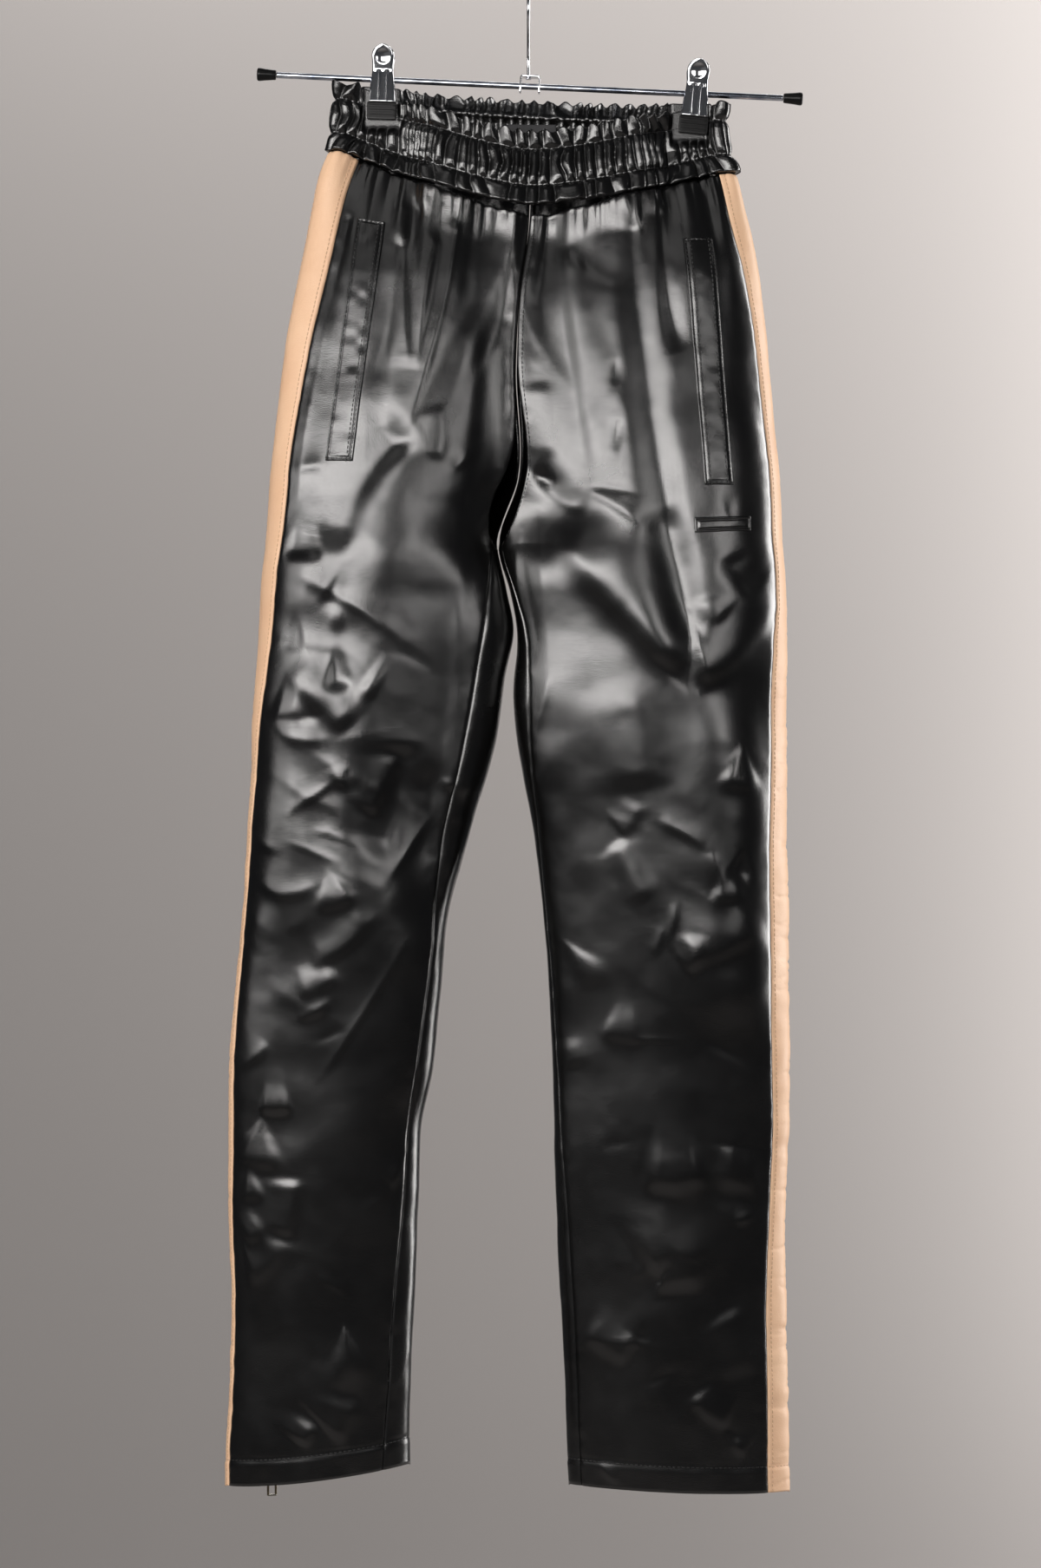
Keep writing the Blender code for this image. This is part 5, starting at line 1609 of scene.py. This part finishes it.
# Blocks of a zip's pull, from its axis: across and up, width, depth and height in mm, and power;
# the last one is bright
PULL_BOXES = (
    (0.0, 0.0, 7.4, 1.5, 1.6, 0.45), (-2.5, -2.4, 2.4, 1.5, 4.4, 0.3),
    (2.5, -2.4, 2.4, 1.5, 4.4, 0.3), (0.0, -7.5, 7.4, 1.5, 7.4, 0.25),
    (-2.9, -14.8, 1.6, 1.5, 9.4, 0.4), (2.9, -14.8, 1.6, 1.5, 9.4, 0.4),
    (0.0, -19.2, 7.4, 1.6, 1.6, 0.45),
)


@dataclass
class AnkleZip:
    """Chain, slider, bail and hinged pull at one ankle. Metres."""

    side: Side
    form: TrouserForm
    width: float = 6.0 * MM
    length: float = 150.0 * MM
    gap: float = 0.35 * MM
    pitch: float = 1.5 * MM
    tooth: Triple = (2.6, 1.0, 1.15)
    slider: Triple = (8.4 * MM, 3.2 * MM, 11.0 * MM)
    pull_reach: float = 1.5 * MM
    bail_radius: float = 1.62 * MM
    setback: float = 17.0 * MM

    def place(self, height: Array) -> tuple[Array, Array, Array]:
        """Points, directions across and directions out at some heights behind the stripe."""
        levels = np.linspace(self.form.ankle + 0.09, self.form.hem, 60)
        behind = replace(self.form, stripe_width=self.form.stripe_width + self.setback)
        seam = np.interp(-height, -levels, behind.seam_angles(self.side, levels)[2])
        angle = wrapped(seam)
        point = self.form.base(self.side, angle, height)
        normal = self.form.base_normal(self.side, angle, height)
        out = unit(normal * np.array([1.0, 1.0, 0.0]))
        return point, np.cross(out, UP), out

    def add(self, name: str, node: str, shape: tuple) -> None:
        """A closed metal piece that stands for a solid of this side."""
        side = self.side.value
        add_solid(f"{name}_{side}", shape, "zip", "zip_metal", f"{node}_{side}")

    def build(self) -> None:
        """All the zip's pieces, placed by the axis that the pull swings on."""
        name = f"pull_{self.side.value}_swing"
        joint = next(joint for joint in frame["joints"] if joint["name"] == name)
        axis, across = np.array(joint["pos_m"]), unit(np.array(joint["axis"]))
        axes = np.stack([across, np.array([-across[1], across[0], 0.0]), UP])
        self.build_chain(float(axis[2]) + 2.0 * MM - self.slider[2] / 2)
        self.build_slider(axis, axes)
        self.build_pull(axis, axes)

    def build_chain(self, bottom: float) -> None:
        """The tape and two rows of teeth: blocks at even steps, the rows half a step apart."""
        count = int(self.length / self.pitch)
        block = rounded_block((1.0, 1.0, 1.0), np.zeros(3), np.eye(3), 0.4)[0]
        keep = block.reshape(18, 36, 3)[::3, ::4]
        local = keep.reshape(-1, 3) * np.array(self.tooth) * MM
        faces = copied_faces(ring_faces(*keep.shape[:2]), len(local), count)
        parts = []
        for row in (-1, 1):
            height = bottom + self.pitch * (np.arange(count) + 0.25 + 0.25 * row)
            point, across, out = self.place(height)
            middle = point + across * row * 0.75 * MM + out * (2 * self.gap + 0.7 * MM)
            teeth = middle[:, None] + local[None, :, :1] * across[:, None]
            teeth = teeth + local[None, :, 1:2] * out[:, None] + local[None, :, 2:3] * UP
            parts.append((teeth.reshape(-1, 3), faces))
        point, across, out = self.place(np.linspace(bottom + self.length, bottom, 60))
        steps = np.linspace(-0.5, 0.5, 7)[None, :, None] * self.width
        strip = point[:, None] + across[:, None] * steps + out[:, None] * 2 * self.gap
        back = strip + out[:, None] * 0.45 * MM
        tape = np.concatenate([strip, back[:, ::-1]], axis=1)
        parts.append((tape.reshape(-1, 3), ring_faces(*tape.shape[:2])))
        self.add("zip_teeth", "zip_chain", join(parts))

    def build_slider(self, axis: Array, axes: Array) -> None:
        """The slider's two plates around a neck, and the bail's arch.

        Args:
            axis: middle of the pin that the pull swings on.
            axes: directions across, out and up, as rows.
        """
        across, out, up = axes
        w, d, h = self.slider
        middle = axis - out * (d / 2 + self.pull_reach) + up * 2.0 * MM
        parts = [
            rounded_block((w, d * 0.42, h), middle + out * d * 0.27, axes, 0.3),
            rounded_block((w, d * 0.36, h * 0.96), middle - out * d * 0.31, axes, 0.3),
            rounded_block((w * 0.4, d * 0.9, h * 0.5), middle + up * h * 0.2, axes, 0.4),
        ]
        self.add("zip_slider_body", "zip_slider", join(parts))
        turn = np.linspace(math.pi / 2, -math.pi / 2, 15)
        arch = axis + self.bail_radius * (np.cos(turn)[:, None] * out + np.sin(turn)[:, None] * up)
        foot = out * (self.pull_reach + 0.2 * MM)
        route = np.concatenate([arch[:1] - foot, arch, arch[-1:] - foot])
        bail = sweep(route, np.full(len(route), 0.42 * MM), 10, across)
        self.add("zip_slider_bail", "zip_bail", bail)

    def build_pull(self, axis: Array, axes: Array) -> None:
        """The pull: a top bar and two legs round the bail, a plate, and a wire window below it."""
        across, _, up = axes
        parts = []
        for x, z, width, depth, height, power in PULL_BOXES:
            size = (width * MM, depth * MM, height * MM)
            parts.append(rounded_block(size, axis + across * x * MM + up * z * MM, axes, power))
        points, faces = join(parts)
        side = self.side.value
        piece = add_piece(f"zip_tab_{side}", points, faces, "zip", f"pull_{side}")
        face_outwards(piece)
        piece.data.materials.append(material("zip_bright"))
        shine = np.zeros(len(piece.data.polygons), dtype=np.int32)
        shine[-len(parts[-1][1]):] = 1
        piece.data.polygons.foreach_set("material_index", shine)
        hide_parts(f"zip_pull_{side}")
        log_piece(piece)


# ---------------------------------------------------------------- hanger


def leaning(middle: tuple, lean: float, across: Array, up: Array, depth: Array) -> Array:
    """Places given across and up from a middle, both turned by a lean, and in depth."""
    across, up, depth = np.broadcast_arrays(across, up, depth)
    x = middle[0] + across * math.cos(lean) + up * math.sin(lean)
    z = middle[2] - across * math.sin(lean) + up * math.cos(lean)
    return np.stack([x, depth, z], axis=-1)


@dataclass
class Hanger:
    """Wire hook, bracket, rod with end caps, and two sprung clips. Metres."""

    tilt: float = math.radians(2.6)
    rod_middle: Triple = (0.5 * MM, 0.0, -85.6 * MM)
    rod_radius: float = 2.25 * MM
    rod_length: float = 374.0 * MM
    cap_length: float = 14.0 * MM
    cap_radii: Pair = (3.6 * MM, 4.8 * MM)
    wire_radius: float = 1.15 * MM
    rail_radius: float = 24.5 * MM
    shank_x: float = -0.6 * MM
    head_radius: float = 2.0 * MM
    gap: float = 0.35 * MM
    bracket_width: float = 15.0 * MM
    bracket_depth: float = 8.0 * MM
    bracket_sheet: float = 1.3 * MM
    bracket_rise: float = 8.0 * MM
    bracket_corner: float = 2.4 * MM
    bracket_drop: float = 4.6 * MM
    clamp_depth: float = 2.2 * MM
    jaw: Triple = (21.6 * MM, 3.4 * MM, 12.8 * MM)
    plate_sheet: float = 0.9 * MM
    plate_head: float = 16.4
    coil_radius: float = 3.15 * MM
    coil_wire: float = 0.52 * MM

    def tilted(self, along: Array, up: Array, depth: Array) -> Array:
        """Places given along the tilted rod, up from it and in depth."""
        return leaning(self.rod_middle, self.tilt, along, up, depth)

    def add(self, name: str, shape: tuple, finish: str, node: str) -> Object:
        """A closed piece that stands for a solid."""
        slot = "hanger_rubber" if finish == "rubber" else "hanger_metal"
        return add_solid(name, shape, finish, slot, node)

    def build_rod(self) -> None:
        """The rod with rounded ends, and its two flared rubber caps."""
        half = self.rod_length / 2
        body = np.linspace(-half + 1 * MM, half - 1 * MM, 40)
        along = np.concatenate([[-half, -half + 0.4 * MM], body, [half - 0.4 * MM, half]])
        radii = np.full(len(along), self.rod_radius)
        radii[[0, -1]] *= 0.85
        route = self.tilted(along, 0.0, 0.0)
        self.add("round_rod", sweep(route, radii, 32, BACKWARD), "rod_chrome", "hanger_rod")
        small, large = self.cap_radii
        share = np.array([0.0, 0.01, 0.06, 0.3, 0.6, 0.82, 0.9, 0.95, 0.985, 1.0])
        radii = np.array([
            small - 0.7 * MM, small - 0.2 * MM, small, 3.9 * MM, 4.3 * MM, large - 0.05 * MM,
            large, large - 0.15 * MM, large - 0.6 * MM, large - 1.3 * MM,
        ])
        for name, turn in (("right", -1), ("left", 1)):
            route = self.tilted(turn * (half + self.gap + self.cap_length * share), 0.0, 0.0)
            cap = sweep(route, radii, 32, BACKWARD)
            self.add(f"flared_cap_{name}", cap, "rubber", f"end_cap_{name}")

    def build_hook(self) -> None:
        """The wire hook: up from the bracket, around the front of the rail and over it.

        Formula: an S-curve of t * t * (3 - 2t) from the shank to the rail's front, then 205
        degrees of a circle of the rail's radius and half the wire.
        """
        radius = self.rail_radius + self.wire_radius
        rise = self.bracket_rise - self.bracket_sheet - 0.9 * MM - 1.5 * self.gap
        foot = float(self.tilted(0.0, rise, 0.0)[2])
        centre = self.wire_radius - radius
        t = np.linspace(0, 1, 30)
        height = foot + 12 * MM + (centre - 20 * MM - foot) * t
        bend = np.stack([0 * t, -radius * t * t * (3 - 2 * t), height], axis=1)
        angle = math.pi - math.radians(205) * np.linspace(0.02, 1, 60)
        arc = np.stack([0 * angle, radius * np.cos(angle), centre + radius * np.sin(angle)], axis=1)
        steps = np.array([0.0, 0.9, 0.95, 4.0, 8.0]) * MM
        shank = np.stack([0 * steps, 0 * steps, foot + steps], axis=1)
        route = np.concatenate([shank, bend, arc]) + np.array([self.shank_x, 0.0, 0.0])
        radii = np.full(len(route), self.wire_radius)
        radii[:2] = self.head_radius
        radii[-1] *= 0.7
        hook = sweep(route, radii, 20, np.array([1.0, 0.0, 0.0]))
        self.add("wire_hook", hook, "chrome", "hanger_hook")

    def build_bracket(self) -> None:
        """The U strap: a flat section carried up one leg, over the top and down the other."""
        half, rise, drop = self.bracket_width / 2, self.bracket_rise, self.bracket_drop
        corner = self.bracket_corner
        turn = np.linspace(0, math.pi / 2, 9)
        leg = [[-half - 0.1 * MM, -drop], [-half, 0.0]]
        x, z = -half + corner - corner * np.cos(turn), rise - corner + corner * np.sin(turn)
        path = np.concatenate([leg, np.stack([x, z], axis=1)])
        path = np.concatenate([path, path[::-1] * np.array([-1.0, 1.0])])
        along = unit(np.gradient(path, axis=0))
        inward = np.stack([along[:, 1], -along[:, 0]], axis=1)
        sheet, depth = self.bracket_sheet, self.bracket_depth / 2
        section = ((0.0, -depth), (0.0, depth), (sheet, depth), (sheet, -depth))
        columns = [
            self.tilted(*(path + inward * step).T, np.full(len(path), y)) for step, y in section
        ]
        shape = (np.stack(columns, axis=1).reshape(-1, 3), ring_faces(len(path), 4))
        piece = self.add("bent_bracket", shape, "chrome", "hook_bracket")
        edge = piece.modifiers.new("edge", "BEVEL")
        edge.width, edge.segments = 0.3 * MM, 2

    def plate(self, along: float, lean: float, turn: float) -> Array:
        """A clip plate's outer surface.

        Formula: half width 8 mm with a round head above, waisted at the rod and wider at the
        jaw; nearly flat with edges that roll back 0.9 mm; two upright flutes at a third of the
        half width, 1.4 mm high above and 0.1 mm at the jaw; and a round dish of 5.6 mm radius
        and 1 mm depth in the head.

        Args:
            along: where the clip sits on the rod.
            lean: its lean in radians.
            turn: -1 in front, 1 behind.

        Returns:
            The grid of points, rows down.
        """
        head = self.plate_head
        rows = [head + 8 * np.cos(np.linspace(0.03, math.pi / 2, 22)), np.linspace(15.8, -17, 60)]
        u, v = np.meshgrid(np.linspace(-1, 1, 45), np.concatenate(rows))
        half = np.interp(-v, [-head, -10, -4, 4, 17], [8.0, 7.3, 7.6, 8.6, 9.5])
        half = np.where(v > head, np.sqrt(np.maximum(64 - (v - head) ** 2, 0.0)), half)
        depth = np.interp(-v, [-24.4, -7, -5, -3, 17], [8.5, 4.25, 4.15, 4.3, 5.6])
        across = u * half
        depth = depth - 0.25 * u**2 - 0.9 * ramp(np.abs(u) - 0.8, 0.2) ** 2
        flute = bell(np.abs(across) - 2.9, 1.0) * ramp(7 - v, 2.0) * (0.1 + 0.06 * (v + 17))
        away = np.sqrt(across**2 + (v - head) ** 2)
        depth = depth + flute - 1.0 * np.clip(1 - (away / 5.6) ** 2, 0, 1)
        middle = self.tilted(along, 0.0, 0.0)
        return leaning(middle, lean, across * MM, v * MM, turn * depth * MM)

    def build_clip(self, name: str, along: float, lean: float) -> None:
        """Two fluted plates, two rubber jaws and the coil spring around the rod."""
        centre, start = self.tilted(along, 0.0, 0.0), self.tilted(0.0, 0.0, 0.0)
        ways = leaning(start, lean, np.array([1.0, 0.0]), np.array([0.0, 1.0]), 0.0) - start
        axes = np.stack([ways[0], BACKWARD, ways[1]])
        width, thick, tall = self.jaw
        for face in Face:
            turn = -face.turn
            piece = add_sheet(
                f"fluted_plate_{face.value}_{name}", self.plate(along, lean, turn),
                "chrome", self.plate_sheet, turn * BACKWARD, 0.0,
            )
            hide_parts(f"clip_plate_{face.value}_{name}")
            depth = turn * (self.clamp_depth + self.gap + thick / 2)
            middle = leaning(centre, lean, 0.0, -17.0 * MM - self.gap - tall / 2, depth)
            parts = [rounded_block(self.jaw, middle, axes, 0.12)]
            for step in (-3.6, 0.0, 3.6):
                ridge = middle + axes[2] * step * MM + axes[1] * turn * thick * 0.45
                parts.append(rounded_block((width * 0.93, 0.7 * MM, 1.5 * MM), ridge, axes, 0.4))
            jaw = f"jaw_{face.value}_{name}"
            self.add(f"rubber_{jaw}", join(parts), "rubber", f"clip_{jaw}")
        t = np.linspace(0, 1, 260)
        turn = t * 2 * math.pi * 5.5
        radius = self.coil_radius
        places = along + (t - 0.5) * 8.2 * MM
        route = self.tilted(places, radius * np.cos(turn), radius * np.sin(turn))
        coil = sweep(
            route, np.full(len(t), self.coil_wire), 10, unit(self.tilted(1.0, 0.0, 0.0) - start)
        )
        self.add(f"coil_spring_{name}", coil, "chrome", f"clip_spring_{name}")

    def build(self) -> None:
        """The whole hanger."""
        self.build_rod()
        self.build_hook()
        self.build_bracket()
        self.build_clip("right", -108.6 * MM, math.radians(1.5))
        self.build_clip("left", 122.8 * MM, math.radians(5.6))


# ---------------------------------------------------------------- studio

WALL = 1.6
WARM = (1.0, 0.975, 0.955)
# Soft lights: name, place, what it is turned to, size and power
LIGHTS = (
    ("left_softbox", (-1.0, -2.2, -0.03), (0.0, 0.0, -0.2), (2.5, 0.86), 56.0),
    ("right_strip", (1.0, -2.1, -0.05), (0.1, 0.0, -0.3), (0.5, 0.9), 5.5),
    ("left_side", (-2.3, -1.3, -0.1), (0.0, 0.0, -0.4), (1.2, 1.2), 13.0),
    ("right_softbox", (2.1, 0.65, -0.35), (0.1, 0.0, -0.5), (0.8, 2.4), 62.0),
    ("low_bounce", (-1.0, -2.2, -0.95), (0.0, 0.0, -0.8), (1.2, 0.8), 0.15),
    ("top_fill", (-0.6, -1.6, 1.6), (0.0, 0.0, -0.2), (1.6, 0.9), 3.0),
    ("back_fill", (0.0, 1.3, 1.5), (0.0, 0.0, -0.5), (1.6, 0.6), 7.0),
    ("wall_top_left", (-0.5, 1.0, 1.0), (-0.6, WALL, 0.1), (1.2, 0.4), 11.0),
    ("wall_top_right", (0.9, 1.0, 1.0), (0.7, WALL, 0.2), (1.2, 0.4), 15.0),
    ("wall_right", (1.1, 1.15, -0.5), (0.92, WALL, -0.5), (0.25, 2.2), 17.0),
)


@dataclass
class Studio:
    """Pale swept backdrop and floor, soft lights and the camera. Metres and watts."""

    floor: float = -1.95
    floor_front: float = -3.2
    floor_reach: float = 3.2
    wall_top: float = 1.3
    wall_reach: float = 0.76
    bend: float = 0.35
    camera_place: Triple = (-0.0064, -2.249, -0.600)
    lens: float = 70.0

    def build_backdrop(self) -> None:
        """A floor that sweeps up into a narrower wall: level, a quarter circle, then upright."""
        turn = np.linspace(0, math.pi / 2, 24)
        bend, foot = self.bend, WALL - self.bend
        narrowing = self.wall_reach + (self.floor_reach - self.wall_reach) * np.cos(turn)
        y = [np.linspace(self.floor_front, foot, 12), foot + bend * np.sin(turn), np.full(10, WALL)]
        z = [
            np.full(12, self.floor), self.floor + bend - bend * np.cos(turn),
            np.linspace(self.floor + bend + 0.1, self.wall_top, 10),
        ]
        reach = [np.full(12, self.floor_reach), narrowing, np.full(10, self.wall_reach)]
        x = np.concatenate(reach)[:, None] * np.linspace(-1, 1, 9)
        y, z = (np.broadcast_to(np.concatenate(part)[:, None], x.shape) for part in (y, z))
        made, nodes, shader = new_material("pale_backdrop")
        settle(shader, Base_Color=(0.275, 0.26, 0.253, 1), Roughness=0.9)
        # The back of the wall lets the view through, so the object is also seen from behind it
        mix, output = nodes.add("ShaderNodeMixShader"), made.node_tree.nodes["Material Output"]
        nodes.link(nodes.add("ShaderNodeNewGeometry"), "Backfacing", mix, 0)
        nodes.link(shader, "BSDF", mix, 1)
        nodes.link(nodes.add("ShaderNodeBsdfTransparent"), "BSDF", mix, 2)
        nodes.link(mix, "Shader", output, "Surface")
        faces = grid_faces(*x.shape, flip=True)
        mesh_object("backdrop", np.stack([x, y, z], axis=-1), faces, made)

    def build(self) -> None:
        """World, lights, camera and backdrop."""
        self.build_backdrop()
        world = bpy.data.worlds.new("soft_room")
        world.use_nodes = True
        settle(world.node_tree.nodes["Background"], Color=(0.9, 0.93, 1.0, 1), Strength=0.045)
        bpy.context.scene.world = world
        for name, place, aim, size, power in LIGHTS:
            light = bpy.data.lights.new(name, "AREA")
            light.shape, light.energy, light.color = "RECTANGLE", power, WARM
            light.size, light.size_y = size
            lamp = linked(name, light)
            lamp.location = place
            lamp.rotation_euler = (Vector(aim) - Vector(place)).to_track_quat("-Z", "Y").to_euler()
        bpy.context.scene.view_settings.view_transform = "Standard"
        data = bpy.data.cameras.new("camera")
        data.lens, data.sensor_width, data.sensor_height = self.lens, 24.0, 36.0
        data.sensor_fit = "VERTICAL"
        camera = linked("camera", data)
        camera.location = self.camera_place
        camera.rotation_euler = (math.pi / 2, 0.0, 0.0)
        bpy.context.scene.camera = camera


def main() -> None:
    logging.basicConfig(level=logging.INFO, format="%(name)s: %(message)s")
    form = TrouserForm()
    Studio().build()
    Hanger().build()
    Trousers(form).build()
    for side in Side:
        AnkleZip(side, form).build()


if __name__ == "__main__":
    main()
